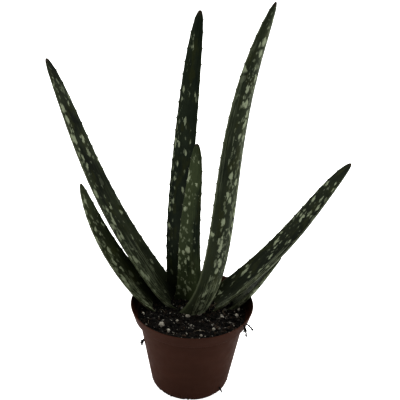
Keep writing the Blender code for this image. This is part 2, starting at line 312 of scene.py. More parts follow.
class NodeBench:
    """Places and joins the nodes of one tree."""

    def __init__(self, tree: bpy.types.NodeTree) -> None:
        """Keeps the tree."""
        self.tree = tree
        self.column = 0

    def place(self, kind: str, **settings: object) -> bpy.types.Node:
        """Adds a node of this kind with these settings."""
        node = self.tree.nodes.new(kind)
        self.column += 1
        node.location = (190 * (self.column % 12), -260 * (self.column // 12))
        for name, value in settings.items():
            setattr(node, name, value)
        return node

    def join(self, value: object, socket: bpy.types.NodeSocket) -> None:
        """Feeds the socket from another, or sets it to a plain value."""
        if isinstance(value, bpy.types.NodeSocket):
            self.tree.links.new(value, socket)
        else:
            socket.default_value = value

    def math(self, operation: str, first: object, second: object = 0.0) -> bpy.types.NodeSocket:
        """The result of one sum on one or two numbers."""
        node = self.place("ShaderNodeMath", operation=operation)
        self.join(first, node.inputs[0])
        self.join(second, node.inputs[1])
        return node.outputs[0]

    def spread(self, value: object, low: object, high: object, to: Span = (0.0, 1.0)) -> bpy.types.NodeSocket:
        """Maps the value smoothly from low..high to the given span."""
        node = self.place("ShaderNodeMapRange", interpolation_type="SMOOTHSTEP")
        self.join(value, node.inputs["Value"])
        self.join(low, node.inputs["From Min"])
        self.join(high, node.inputs["From Max"])
        node.inputs["To Min"].default_value = to[0]
        node.inputs["To Max"].default_value = to[1]
        return node.outputs["Result"]

    def blend(self, share: object, under: object, over: object) -> bpy.types.NodeSocket:
        """One colour laid over another by a share."""
        node = self.place("ShaderNodeMix", data_type="RGBA")
        self.join(share, node.inputs[0])
        for value, socket in ((under, node.inputs[6]), (over, node.inputs[7])):
            self.join((*value, 1.0) if isinstance(value, tuple) else value, socket)
        return node.outputs[2]

    def stored(self, name: str) -> bpy.types.NodeSocket:
        """The three numbers stored at each vertex under this name."""
        return self.place("ShaderNodeAttribute", attribute_name=name).outputs["Vector"]

    def parts(self, vector: bpy.types.NodeSocket) -> bpy.types.bpy_prop_collection:
        """The three numbers of a vector, each on its own."""
        node = self.place("ShaderNodeSeparateXYZ")
        self.join(vector, node.inputs[0])
        return node.outputs

    def stretch(self, vector: bpy.types.NodeSocket, scale: object) -> bpy.types.NodeSocket:
        """The vector with each part multiplied."""
        node = self.place("ShaderNodeVectorMath", operation="MULTIPLY")
        self.join(vector, node.inputs[0])
        self.join(scale, node.inputs[1])
        return node.outputs[0]

    def shift(self, vector: bpy.types.NodeSocket, step: object) -> bpy.types.NodeSocket:
        """The vector moved by another."""
        node = self.place("ShaderNodeVectorMath", operation="ADD")
        self.join(vector, node.inputs[0])
        self.join(step, node.inputs[1])
        return node.outputs[0]

    def clouds(self, vector: object, scale: object, detail: float = 3.0, rough: float = 0.55) -> bpy.types.NodeSocket:
        """Soft random patches from 0 to 1."""
        node = self.place("ShaderNodeTexNoise")
        self.join(vector, node.inputs["Vector"])
        self.join(scale, node.inputs["Scale"])
        node.inputs["Detail"].default_value = detail
        node.inputs["Roughness"].default_value = rough
        return node.outputs["Fac"]

    def cells(self, vector: object, scale: object) -> bpy.types.bpy_prop_collection:
        """Random cells: distance to the middle of each, and a random colour."""
        node = self.place("ShaderNodeTexVoronoi")
        self.join(vector, node.inputs["Vector"])
        self.join(scale, node.inputs["Scale"])
        return node.outputs

    def group(self, made: bpy.types.NodeTree, **values: object) -> bpy.types.bpy_prop_collection:
        """Places a shared effect with its own values."""
        node = self.place("ShaderNodeGroup", node_tree=made)
        for name, value in values.items():
            self.join(value, node.inputs[name])
        return node.outputs

    def bump(self, height: object, distance: float, strength: float, under: object = None) -> bpy.types.NodeSocket:
        """Turns a height into a surface normal, over another normal if one is given."""
        node = self.place("ShaderNodeBump")
        node.inputs["Strength"].default_value = strength
        node.inputs["Distance"].default_value = distance
        self.join(height, node.inputs["Height"])
        if under is not None:
            self.join(under, node.inputs["Normal"])
        return node.outputs[0]


class Effect(Enum):
    """The effects that several finishes share."""

    GRAIN = "fine_grain"
    DUST = "settled_dust"
    LINES = "long_lines"


class EffectShelf:
    """Makes each shared effect once and hands it out."""

    def __init__(self) -> None:
        """Starts empty."""
        self.made: dict[Effect, bpy.types.NodeTree] = {}

    def get(self, effect: Effect) -> bpy.types.NodeTree:
        """The node group of this effect."""
        if effect not in self.made:
            makers = {Effect.GRAIN: self.grain, Effect.DUST: self.dust, Effect.LINES: self.lines}
            self.made[effect] = makers[effect]()
        return self.made[effect]

    @staticmethod
    def start(name: str, inputs: dict[str, str], outputs: tuple[str, ...]) -> tuple[NodeBench, dict]:
        """Begins a node group.

        Args:
            name: Name of the group.
            inputs: Name and socket type of each input.
            outputs: Names of its outputs, all single numbers.

        Returns:
            The bench of its tree, and its "in" and "out" sockets by name.
        """
        tree = bpy.data.node_groups.new(name, "ShaderNodeTree")
        for label, kind in inputs.items():
            tree.interface.new_socket(name=label, in_out="INPUT", socket_type=kind)
        for label in outputs:
            tree.interface.new_socket(name=label, in_out="OUTPUT", socket_type="NodeSocketFloat")
        bench = NodeBench(tree)
        ends = {"in": bench.place("NodeGroupInput").outputs, "out": bench.place("NodeGroupOutput").inputs}
        return bench, ends

    def grain(self) -> bpy.types.NodeTree:
        """Fine roughness of a skin or a moulded face, at two scales."""
        bench, ends = self.start(
            Effect.GRAIN.value, {"Place": "NodeSocketVector", "Scale": "NodeSocketFloat"}, ("Height", "Shade")
        )
        fine = bench.clouds(ends["in"]["Place"], ends["in"]["Scale"], 4.0, 0.62)
        broad = bench.clouds(ends["in"]["Place"], bench.math("MULTIPLY", ends["in"]["Scale"], 0.13), 3.0)
        both = bench.math("ADD", bench.math("MULTIPLY", fine, 0.7), bench.math("MULTIPLY", broad, 0.3))
        bench.join(both, ends["out"]["Height"])
        bench.join(bench.spread(broad, 0.3, 0.7), ends["out"]["Shade"])
        return bench.tree

    def dust(self) -> bpy.types.NodeTree:
        """Patches where fine dust has settled or stuck."""
        bench, ends = self.start(
            Effect.DUST.value,
            {"Place": "NodeSocketVector", "Scale": "NodeSocketFloat", "Amount": "NodeSocketFloat"},
            ("Mask",),
        )
        patches = bench.clouds(ends["in"]["Place"], ends["in"]["Scale"], 5.0, 0.65)
        specks = bench.clouds(ends["in"]["Place"], bench.math("MULTIPLY", ends["in"]["Scale"], 22.0), 2.0)
        threshold = bench.math("SUBTRACT", 0.78, bench.math("MULTIPLY", ends["in"]["Amount"], 0.5))
        joined = bench.math("ADD", bench.math("MULTIPLY", patches, 0.65), bench.math("MULTIPLY", specks, 0.35))
        mask = bench.spread(joined, threshold, bench.math("ADD", threshold, 0.22))
        bench.join(mask, ends["out"]["Mask"])
        return bench.tree

    def lines(self) -> bpy.types.NodeTree:
        """Fine lines that run along the Z of the given place."""
        bench, ends = self.start(
            Effect.LINES.value,
            {"Place": "NodeSocketVector", "Across": "NodeSocketFloat", "Along": "NodeSocketFloat"},
            ("Lines",),
        )
        joined = bench.place("ShaderNodeCombineXYZ")
        for axis in (0, 1):
            bench.join(ends["in"]["Across"], joined.inputs[axis])
        bench.join(ends["in"]["Along"], joined.inputs[2])
        drawn = bench.stretch(ends["in"]["Place"], joined.outputs[0])
        bench.join(bench.clouds(drawn, 1.0, 4.0, 0.6), ends["out"]["Lines"])
        return bench.tree


SHELF = EffectShelf()


@dataclass(frozen=True)
class Finish(ABC):
    """A surface finish; each is one material."""

    name: str
    made: ClassVar[dict[str, bpy.types.Material]] = {}

    def material(self) -> bpy.types.Material:
        """The material of this finish, made the first time it is asked for."""
        if self.name not in self.made:
            material = bpy.data.materials.new(self.name)
            material.use_nodes = True
            self.dress(NodeBench(material.node_tree), material.node_tree.nodes["Principled BSDF"].inputs)
            self.made[self.name] = material
        return self.made[self.name]

    @abstractmethod
    def dress(self, bench: NodeBench, shader: bpy.types.bpy_prop_collection) -> None:
        """Builds the nodes that feed the shader's sockets."""

    def apply(self, piece: bpy.types.Object) -> None:
        """Puts the finish on the whole of a piece."""
        piece.data.materials.clear()
        piece.data.materials.append(self.material())


@dataclass(frozen=True)
class LeafSkin(Finish):
    """Waxy aloe skin: deep green with pale flecks, fine lines, a yellow foot, a horny edge, and painted light on its
    lit sides.
    """

    deep: Rgb
    fresh: Rgb
    olive: Rgb = (0.046, 0.052, 0.014)
    foot: Rgb = (0.060, 0.072, 0.032)
    fleck: Rgb = (0.320, 0.355, 0.245)
    edge: Rgb = (0.120, 0.135, 0.080)
    tip: Rgb = (0.045, 0.032, 0.020)
    dust: Rgb = (0.14, 0.14, 0.11)
    fleck_width: float = 3.7 * MM
    fleck_length: float = 9.0 * MM
    fleck_waver: float = 0.55
    fleck_layers: tuple[Span, ...] = ((1.0, 0.56), (1.6, 0.50))  # fineness and size of each layer
    small_fleck_share: float = 0.45
    roughness: float = 0.40
    specular: float = 0.17

    def dress(self, bench: NodeBench, shader: bpy.types.bpy_prop_collection) -> None:
        """Builds the nodes that feed the shader's sockets."""
        place = bench.stored("unbent")
        share = bench.parts(bench.stored("share"))
        marks = bench.parts(bench.stored("marks"))
        lines = bench.group(SHELF.get(Effect.LINES), Place=place, Across=1100.0, Along=34.0)["Lines"]
        grain = bench.group(SHELF.get(Effect.GRAIN), Place=place, Scale=1500.0)
        clouds = bench.clouds(bench.stretch(place, (60.0, 60.0, 22.0)), 1.0, 3.0)

        tone = bench.spread(bench.math("ADD", clouds, bench.math("MULTIPLY", lines, 0.45)), 0.50, 0.92)
        colour = bench.blend(tone, self.deep, self.fresh)
        patches = bench.clouds(bench.stretch(place, (170.0, 60.0, 55.0)), 1.0, 3.0)
        colour = bench.blend(bench.spread(patches, 0.50, 0.66, (0.0, 0.55)), colour, self.olive)
        colour = bench.blend(bench.spread(share["Y"], 0.24, 0.02), colour, self.foot)
        # Painted light: where the third kind of mark lies, the lit sides of the leaf are painted in the fresh green.
        colour = bench.blend(marks["Z"], colour, self.fresh)

        streak = bench.math("MULTIPLY", bench.spread(lines, 0.48, 0.60), marks["Y"])
        colour = bench.blend(streak, colour, self.fleck)
        fleck = self.flecks(bench, place, marks["X"], lines)
        colour = bench.blend(fleck, colour, self.fleck)

        rim = bench.spread(bench.math("ABSOLUTE", share["X"]), 0.965, 0.995)
        colour = bench.blend(bench.math("MULTIPLY", rim, 0.75), colour, self.edge)
        colour = bench.blend(bench.spread(share["Y"], 0.982, 0.999), colour, self.tip)
        dust = bench.group(SHELF.get(Effect.DUST), Place=place, Scale=70.0, Amount=0.42)["Mask"]
        colour = bench.blend(bench.math("MULTIPLY", dust, 0.16), colour, self.dust)
        bench.join(colour, shader["Base Color"])

        rough = bench.math("ADD", bench.math("MULTIPLY", grain["Shade"], 0.10), self.roughness)
        rough = bench.math("ADD", rough, bench.math("MULTIPLY", bench.math("ADD", fleck, dust), 0.10))
        bench.join(rough, shader["Roughness"])
        shader["Specular IOR Level"].default_value = self.specular

        normal = bench.bump(lines, 0.35 * MM, 0.30)
        normal = bench.bump(grain["Height"], 0.12 * MM, 0.30, normal)
        bench.join(bench.bump(fleck, 0.25 * MM, 0.35, normal), shader["Normal"])

    def flecks(
        self, bench: NodeBench, place: bpy.types.NodeSocket, cover: bpy.types.NodeSocket, lines: bpy.types.NodeSocket
    ) -> bpy.types.NodeSocket:
        """Draws the pale flecks.

        Args:
            bench: Where the nodes go.
            place: Position on the straightened leaf.
            cover: Share of the flecks that show, from 0 to 1.
            lines: The fine lines, which fray the ends of the flecks.

        Returns:
            Mask of the flecks.
        """
        across = 1 / self.fleck_width
        drawn = bench.stretch(place, (across, 0.12 * across, 1 / self.fleck_length))
        waver = bench.math("SUBTRACT", bench.clouds(drawn, 1.7, 2.0), 0.5)
        drawn = bench.shift(drawn, bench.math("MULTIPLY", waver, 2 * self.fleck_waver))
        frayed = bench.math("MULTIPLY", bench.math("SUBTRACT", lines, 0.5), 0.35)
        masks = []
        for scale, size in self.fleck_layers:
            cell = bench.cells(drawn, scale)
            drawn_share = bench.parts(cell["Color"])
            shown = bench.spread(drawn_share["X"], cover, bench.math("SUBTRACT", cover, 0.06))
            reach = bench.math("ADD", bench.math("MULTIPLY", drawn_share["Y"], 0.26), size - 0.14)
            distance = bench.math("ADD", cell["Distance"], frayed)
            mask = bench.spread(distance, reach, bench.math("SUBTRACT", reach, 0.28))
            masks.append(bench.math("MULTIPLY", mask, shown))
        return bench.math("MAXIMUM", masks[0], bench.math("MULTIPLY", masks[1], self.small_fleck_share))


@dataclass(frozen=True)
class ToothHorn(Finish):
    """The horny teeth: green at their foot, ivory above, with a tan point."""

    ivory: Rgb = (0.16, 0.17, 0.11)
    green: Rgb = (0.07, 0.085, 0.045)
    point: Rgb = (0.16, 0.10, 0.05)

    def dress(self, bench: NodeBench, shader: bpy.types.bpy_prop_collection) -> None:
        """Builds the nodes that feed the shader's sockets."""
        own = bench.parts(bench.stored("own"))
        place = bench.place("ShaderNodeNewGeometry").outputs["Position"]
        lines = bench.group(SHELF.get(Effect.LINES), Place=place, Across=1800.0, Along=500.0)["Lines"]
        rise = bench.math("ADD", own["X"], bench.math("MULTIPLY", bench.math("SUBTRACT", lines, 0.5), 0.3))
        colour = bench.blend(bench.spread(rise, 0.05, 0.45), self.green, self.ivory)
        colour = bench.blend(bench.spread(rise, 0.78, 1.0), colour, self.point)
        bench.join(colour, shader["Base Color"])
        bench.join(bench.spread(lines, 0.2, 0.8, (0.35, 0.55)), shader["Roughness"])
        bench.join(bench.bump(lines, 0.1 * MM, 0.3), shader["Normal"])


@dataclass(frozen=True)
class PotPlastic(Finish):
    """Thin recycled brown plastic: soft sheen, flow marks, scuffs and dried soil dust."""

    brown: Rgb = (0.073, 0.034, 0.023)
    warm: Rgb = (0.081, 0.038, 0.026)
    dust: Rgb = (0.100, 0.065, 0.045)
    roughness: float = 0.42
    specular: float = 0.06

    def dress(self, bench: NodeBench, shader: bpy.types.bpy_prop_collection) -> None:
        """Builds the nodes that feed the shader's sockets."""
        place = bench.place("ShaderNodeNewGeometry").outputs["Position"]
        grain = bench.group(SHELF.get(Effect.GRAIN), Place=place, Scale=900.0)
        flow = bench.clouds(bench.stretch(place, (22.0, 22.0, 60.0)), 1.0, 4.0)
        colour = bench.blend(bench.spread(flow, 0.35, 0.68), self.brown, self.warm)
        dust = bench.group(SHELF.get(Effect.DUST), Place=place, Scale=55.0, Amount=0.36)["Mask"]
        low = bench.spread(bench.parts(place)["Z"], 14 * MM, 0.0)
        dirt = bench.math("MULTIPLY", dust, bench.math("ADD", bench.math("MULTIPLY", low, 0.5), 0.22))
        colour = bench.blend(dirt, colour, self.dust)
        scuffs = bench.clouds(bench.stretch(place, (420.0, 420.0, 60.0)), 1.0, 3.0, 0.7)
        scuff = bench.spread(scuffs, 0.66, 0.78)
        colour = bench.blend(bench.math("MULTIPLY", scuff, 0.16), colour, self.dust)
        bench.join(colour, shader["Base Color"])
        rough = bench.math("ADD", bench.math("MULTIPLY", grain["Shade"], 0.12), self.roughness)
        rough = bench.math("ADD", rough, bench.math("MULTIPLY", bench.math("ADD", dust, scuff), 0.14))
        bench.join(rough, shader["Roughness"])
        normal = bench.bump(flow, 0.6 * MM, 0.12)
        bench.join(bench.bump(grain["Height"], 0.12 * MM, 0.25, normal), shader["Normal"])
        shader["Specular IOR Level"].default_value = self.specular


@dataclass(frozen=True)
class SoilCrumb(Finish):
    """Peat, bark and grit: each crumb has its own tone, kept in the first of its numbers."""

    black: Rgb = (0.003, 0.003, 0.0025)
    peat: Rgb = (0.013, 0.011, 0.009)
    bark: Rgb = (0.052, 0.036, 0.024)
    grit: Rgb = (0.260, 0.250, 0.220)
    own_tones: bool = True

    def dress(self, bench: NodeBench, shader: bpy.types.bpy_prop_collection) -> None:
        """Builds the nodes that feed the shader's sockets."""
        place = bench.place("ShaderNodeNewGeometry").outputs["Position"]
        grain = bench.group(SHELF.get(Effect.GRAIN), Place=place, Scale=1400.0)
        if self.own_tones:
            tone = bench.parts(bench.stored("own"))["X"]
        else:
            tone = bench.clouds(place, 420.0, 5.0, 0.7)
        tone = bench.math("ADD", tone, bench.math("MULTIPLY", bench.math("SUBTRACT", grain["Height"], 0.5), 0.35))
        colour = bench.blend(bench.spread(tone, 0.05, 0.45), self.black, self.peat)
        colour = bench.blend(bench.spread(tone, 0.58, 0.80), colour, self.bark)
        colour = bench.blend(bench.spread(tone, 0.84, 0.93), colour, self.grit)
        bench.join(colour, shader["Base Color"])
        bench.join(bench.spread(grain["Shade"], 0.0, 1.0, (0.72, 0.95)), shader["Roughness"])
        bench.join(bench.bump(grain["Height"], 0.5 * MM, 0.7), shader["Normal"])
        shader["Specular IOR Level"].default_value = 0.3


@dataclass(frozen=True)
class PerliteGlass(Finish):
    """Expanded volcanic glass: chalky white, full of small pits, stained by the peat below."""

    white: Rgb = (0.44, 0.42, 0.36)
    stain: Rgb = (0.10, 0.075, 0.050)
    pit_size: float = 0.55 * MM

    def dress(self, bench: NodeBench, shader: bpy.types.bpy_prop_collection) -> None:
        """Builds the nodes that feed the shader's sockets."""
        place = bench.place("ShaderNodeNewGeometry").outputs["Position"]
        pits = bench.cells(place, 1 / self.pit_size)["Distance"]
        grain = bench.group(SHELF.get(Effect.GRAIN), Place=place, Scale=2200.0)
        dust = bench.group(SHELF.get(Effect.DUST), Place=place, Scale=260.0, Amount=0.6)["Mask"]
        colour = bench.blend(bench.math("MULTIPLY", dust, 0.8), self.white, self.stain)
        colour = bench.blend(bench.spread(pits, 0.30, 0.05, (0.0, 0.45)), colour, self.stain)
        bench.join(colour, shader["Base Color"])
        bench.join(bench.spread(grain["Shade"], 0.0, 1.0, (0.75, 0.95)), shader["Roughness"])
        normal = bench.bump(bench.spread(pits, 0.05, 0.40), 0.3 * MM, 0.8)
        bench.join(bench.bump(grain["Height"], 0.2 * MM, 0.5, normal), shader["Normal"])


@dataclass(frozen=True)
class DryFibre(Finish):
    """Dry root and coir threads: tan, lighter where they are worn."""

    tan: Rgb = (0.130, 0.095, 0.058)
    straw: Rgb = (0.360, 0.310, 0.220)

    def dress(self, bench: NodeBench, shader: bpy.types.bpy_prop_collection) -> None:
        """Builds the nodes that feed the shader's sockets."""
        place = bench.place("ShaderNodeNewGeometry").outputs["Position"]
        own = bench.parts(bench.stored("own"))
        grain = bench.group(SHELF.get(Effect.GRAIN), Place=place, Scale=1800.0)
        tone = bench.math("ADD", own["X"], bench.math("MULTIPLY", bench.math("SUBTRACT", grain["Height"], 0.5), 0.5))
        bench.join(bench.blend(bench.spread(tone, 0.1, 0.9), self.tan, self.straw), shader["Base Color"])
        bench.join(bench.spread(grain["Shade"], 0.0, 1.0, (0.6, 0.85)), shader["Roughness"])
        bench.join(bench.bump(grain["Height"], 0.1 * MM, 0.4), shader["Normal"])


@dataclass(frozen=True)
class StemBark(Finish):
    """The buried stem: corky, banded by old leaf scars."""

    cork: Rgb = (0.160, 0.130, 0.062)
    scar: Rgb = (0.070, 0.048, 0.026)
    band: float = 4.0 * MM

    def dress(self, bench: NodeBench, shader: bpy.types.bpy_prop_collection) -> None:
        """Builds the nodes that feed the shader's sockets."""
        place = bench.place("ShaderNodeNewGeometry").outputs["Position"]
        grain = bench.group(SHELF.get(Effect.GRAIN), Place=place, Scale=700.0)
        height = bench.math("ADD", bench.parts(place)["Z"], bench.math("MULTIPLY", grain["Height"], 2 * MM))
        wave = bench.math("SINE", bench.math("MULTIPLY", height, 2 * math.pi / self.band))
        bench.join(bench.blend(bench.spread(wave, 0.2, 0.9), self.cork, self.scar), shader["Base Color"])
        bench.join(bench.spread(grain["Shade"], 0.0, 1.0, (0.65, 0.9)), shader["Roughness"])
        bench.join(bench.bump(bench.math("ADD", grain["Height"], wave), 0.4 * MM, 0.5), shader["Normal"])


@dataclass(frozen=True)
class FloorPaint(Finish):
    """Matt white paint with the faintest roller grain, washed out to white where the camera sees it."""

    white: Rgb = (0.92, 0.92, 0.92)
    wash: float = 0.62

    def dress(self, bench: NodeBench, shader: bpy.types.bpy_prop_collection) -> None:
        """Builds the nodes that feed the shader's sockets."""
        place = bench.place("ShaderNodeNewGeometry").outputs["Position"]
        grain = bench.group(SHELF.get(Effect.GRAIN), Place=place, Scale=60.0)
        soft = tuple(part * 0.985 for part in self.white)
        bench.join(bench.blend(grain["Shade"], self.white, soft), shader["Base Color"])
        bench.join(bench.spread(grain["Height"], 0.0, 1.0, (0.85, 0.95)), shader["Roughness"])
        shader["Specular IOR Level"].default_value = 0.2
        shader["Emission Color"].default_value = (1.0, 1.0, 1.0, 1.0)
        seen = bench.place("ShaderNodeLightPath").outputs["Is Camera Ray"]
        bench.join(bench.math("MULTIPLY", seen, self.wash), shader["Emission Strength"])


# ------------------------------------------------------------------------------------------------
# The plant
# ------------------------------------------------------------------------------------------------


class MarkKind(Enum):
    """What a mark on the skin is; the value is where it is kept."""

    FLECKS = 0
    STREAKS = 1
    # Painted light: the lit sides of a leaf, painted in its fresh green.
    PAINTED_LIGHT = 2


class LeafSide(Enum):
    """Which side of the leaf: its hollow face, its round back, or both."""

    FACE = 1
    BACK = -1
    BOTH = 0


@dataclass(frozen=True)
class Mark:
    """Where on a leaf the skin is marked, and how strongly."""

    kind: MarkKind
    side: LeafSide
    across: Span
    along: Span
    amount: float

    def at(self, across: float, along: float, rise: float) -> float:
        """How strong the mark is here.

        Args:
            across: Place across the leaf, -1 to 1 at its margins.
            along: Share of the leaf's length.
            rise: Above 0 on the face, below 0 on the back.

        Returns:
            Strength from 0 to 1.
        """
        side = 1.0 if self.side is LeafSide.BOTH else smooth_step(rise * self.side.value, -0.08, 0.08)
        return self.amount * side * window(across, self.across, 0.10) * window(along, self.along, 0.04)


@dataclass(frozen=True)
class Leaf:
    """One leaf: lengths in millimetres, angles in degrees."""

    node: str
    root: Span  # x and y from the crown
    heading: float  # compass direction of the leaf, from +X towards +Y
    leans: tuple[float, float, float, float]  # angle from upright at base, thirds and tip
    length: float
    width: float
    thickness: float
    foot_roll: float  # turn of the blade about its own length at its foot
    roll: float  # the same turn above there
    taper: float  # share of the width lost before the point begins
    point: float  # how late the point begins: larger is later
    bluntness: float  # smaller is blunter
    skin: LeafSkin
    marks: tuple[Mark, ...]

    def lean(self, t: float) -> float:
        """Angle from upright at t, in radians: a smooth curve through the four given."""
        u = 3 * t
        shares = (
            (1 - u) * (2 - u) * (3 - u) / 6,
            u * (2 - u) * (3 - u) / 2,
            u * (u - 1) * (3 - u) / 2,
            u * (u - 1) * (u - 2) / 6,
        )
        return math.radians(sum(share * lean for share, lean in zip(shares, self.leans)))

    def way(self, t: float) -> Vector:
        """Direction in which the leaf grows at t, its share of the length."""
        heading = math.radians(self.heading)
        level = math.sin(self.lean(t))
        return Vector((level * math.cos(heading), level * math.sin(heading), math.cos(self.lean(t))))

    def fullness(self, t: float) -> float:
        """Share of the width and thickness that is left at t."""
        return (1 - self.taper * t) * (1 - t**self.point) ** self.bluntness


@dataclass(frozen=True)
class BladeMaker:
    """Lofts one leaf with its toothed margins. All leaves share these sizes."""

    back_share: float = 0.88
    face_share: float = 0.12
    channel_share: float = 0.25
    clasp_length: float = 34.0
    clasp_widening: float = 0.45
    clasp_curl: float = 8.5
    around: int = 48
    station_every: float = 1.5
    station_crowding: float = 1.5  # above 1 the stations crowd towards the tip
    spine_steps: int = 220
    unevenness: float = 0.22
    tooth_every: float = 13.5
    tooth_height: float = 1.45
    tooth_foot: float = 1.1
    tooth_thick: float = 0.5
    tooth_sweep: float = 0.9
    tooth_sunk: float = 0.45
    tooth_rings: int = 6
    tooth_around: int = 8
    bare_tip: float = 7.0
    knuckle: float = 0.30
    knuckle_reach: float = 2.4
    knuckle_sharpness: int = 6

    def spine(self, leaf: Leaf, crown: Vector) -> list[Vector]:
        """Points along the middle of the leaf, evenly spaced from root to tip."""
        point = crown + Vector((leaf.root[0] * MM, leaf.root[1] * MM, 0))
        points = [point]
        step = leaf.length * MM / self.spine_steps
        for i in range(self.spine_steps):
            point = point + leaf.way((i + 0.5) / self.spine_steps) * step
            points.append(point)
        return points

    def axes(self, leaf: Leaf, t: float) -> tuple[Vector, Vector]:
        """Directions to the leaf's positive margin and out of its face at t."""
        heading = math.radians(leaf.heading)
        across = Vector((-math.sin(heading), math.cos(heading), 0))
        face = leaf.way(t).cross(across)
        hold = self.clasp(leaf, t)
        turn = math.radians(leaf.foot_roll * hold + leaf.roll * (1 - hold))
        side = across * math.cos(turn) + face * math.sin(turn)
        return side, face * math.cos(turn) - across * math.sin(turn)

    def clasp(self, leaf: Leaf, t: float) -> float:
        """How fully the leaf clasps the stem at t."""
        return math.exp(-((t * leaf.length / self.clasp_length) ** 2))

    def half_width(self, leaf: Leaf, t: float) -> float:
        """Distance from the middle to each margin at t."""
        return leaf.width * MM / 2 * leaf.fullness(t) * (1 + self.clasp_widening * self.clasp(leaf, t))

    def tooth_places(self, leaf: Leaf) -> list[tuple[float, int, float]]:
        """Where the teeth stand: share of the length, which margin, and size."""
        dice = random.Random(leaf.node)
        places = []
        for margin in (1, -1):
            reach = self.clasp_length * dice.uniform(0.75, 0.95)
            while reach < leaf.length - self.bare_tip:
                places.append((reach / leaf.length, margin, dice.uniform(0.8, 1.15)))
                reach += self.tooth_every * dice.uniform(0.82, 1.18)
        return places

    def outline(self, leaf: Leaf, t: float, teeth: list[tuple[float, int, float]], seed: float) -> np.ndarray:
        """The leaf's cross-section at t.

        Args:
            leaf: The leaf.
            t: Share of its length.
            teeth: Its teeth, whose feet swell the margin.
            seed: Sets this leaf's own unevenness.

        Returns:
            Rows of across, depth and rise (1 on the face, -1 on the back).
        """
        half = self.half_width(leaf, t)
        thick = leaf.thickness * MM * leaf.fullness(t)
        curl = self.clasp_curl * MM * self.clasp(leaf, t)
        fade = min(1.0, half / (5 * MM))
        rows = []
        swell = {1: 0.0, -1: 0.0}
        for place, margin, size in teeth:
            gap = (place - t) * leaf.length / self.knuckle_reach
            if abs(gap) < 3:
                swell[margin] += self.knuckle * MM * size * math.exp(-gap * gap)
        for i in range(self.around):
            angle = 2 * math.pi * i / self.around
            across, rise = math.cos(angle), math.sin(angle)
            if rise > 0:
                share = self.face_share * rise - self.channel_share * (1 - t) * rise**2
            else:
                share = self.back_share * rise
            uneven = noise.noise(Vector((across * 2.2, rise * 1.5 + seed, t * leaf.length / 11)))
            broad = noise.noise(Vector((across * 0.9 + seed, rise, t * leaf.length / 30)))
            depth = thick * share + curl * across**2
            depth += (uneven * 0.5 + broad) * self.unevenness * MM * fade * abs(rise)
            knuckle = swell[1 if across > 0 else -1] * abs(across) ** self.knuckle_sharpness
            rows.append((across * half + math.copysign(knuckle, across), depth, rise))
        return np.array(rows)

    def blade(self, leaf: Leaf, crown: Vector) -> bpy.types.Object:
        """Lofts the leaf and stores where on the leaf each vertex is.

        Args:
            leaf: The leaf.
            crown: Where all leaves grow from.

        Returns:
            The blade.
        """
        spine = self.spine(leaf, crown)
        teeth = self.tooth_places(leaf)
        seed = random.Random(leaf.node).uniform(0, 40)
        stations = round(leaf.length / self.station_every)
        points, unbent, share, marks = [], [], [], []
        for station in range(stations):
            t = 1 - (1 - station / stations) ** self.station_crowding
            place = t * self.spine_steps
            low = min(int(place), self.spine_steps - 1)
            centre = spine[low].lerp(spine[low + 1], place - low)
            side, face = self.axes(leaf, t)
            for i, (x, depth, rise) in enumerate(self.outline(leaf, t, teeth, seed)):
                across = math.cos(2 * math.pi * i / self.around)
                points.append(centre + side * x + face * depth)
                unbent.append((x + seed, depth, t * leaf.length * MM))
                share.append((across, t, rise))
                marks.append(self.marks_at(leaf, across, t, rise))
        points.append(spine[-1])
        unbent.append((seed, 0, leaf.length * MM))
        share.append((0, 1, 0))
        marks.append((0, 0, 0))
        tip = len(points) - 1
        faces = tube_faces(stations, self.around)
        faces.append(tuple(range(self.around))[::-1])
        last = (stations - 1) * self.around
        for i in range(self.around):
            faces.append((last + i, last + (i + 1) % self.around, tip))
        made = mesh_object(leaf.node + "_blade", np.array([tuple(p) for p in points]), faces, 60)
        write_values(made, "unbent", np.array(unbent))
        write_values(made, "share", np.array(share))
        write_values(made, "marks", np.array(marks))
        return made

    @staticmethod
    def marks_at(leaf: Leaf, across: float, along: float, rise: float) -> Rgb:
        """Strength of each kind of mark here, the strongest of each kind."""
        found = [0.0, 0.0, 0.0]
        for mark in leaf.marks:
            found[mark.kind.value] = max(found[mark.kind.value], mark.at(across, along, rise))
        return tuple(found)

    def teeth(self, leaf: Leaf, crown: Vector) -> bpy.types.Object:
        """Builds the hooked teeth of both margins.

        Args:
            leaf: The leaf.
            crown: Where all leaves grow from.

        Returns:
            All the teeth of this leaf as one piece.
        """
        gathered = Scatter(leaf.node + "_teeth")
        spine = self.spine(leaf, crown)
        for t, margin, size in self.tooth_places(leaf):
            place = t * self.spine_steps
            low = min(int(place), self.spine_steps - 1)
            side, face = self.axes(leaf, t)
            way = leaf.way(t)
            half = self.half_width(leaf, t) + self.knuckle * MM * 0.6
            hold = self.clasp_curl * MM * self.clasp(leaf, t)
            foot = spine[low].lerp(spine[low + 1], place - low) + side * margin * half + face * hold
            fade = 0.55 + 0.45 * min(1.0, half / (8 * MM))
            gathered.add(*self.tooth(foot, side * margin, way, face, size * fade))
        return gathered.build(50)

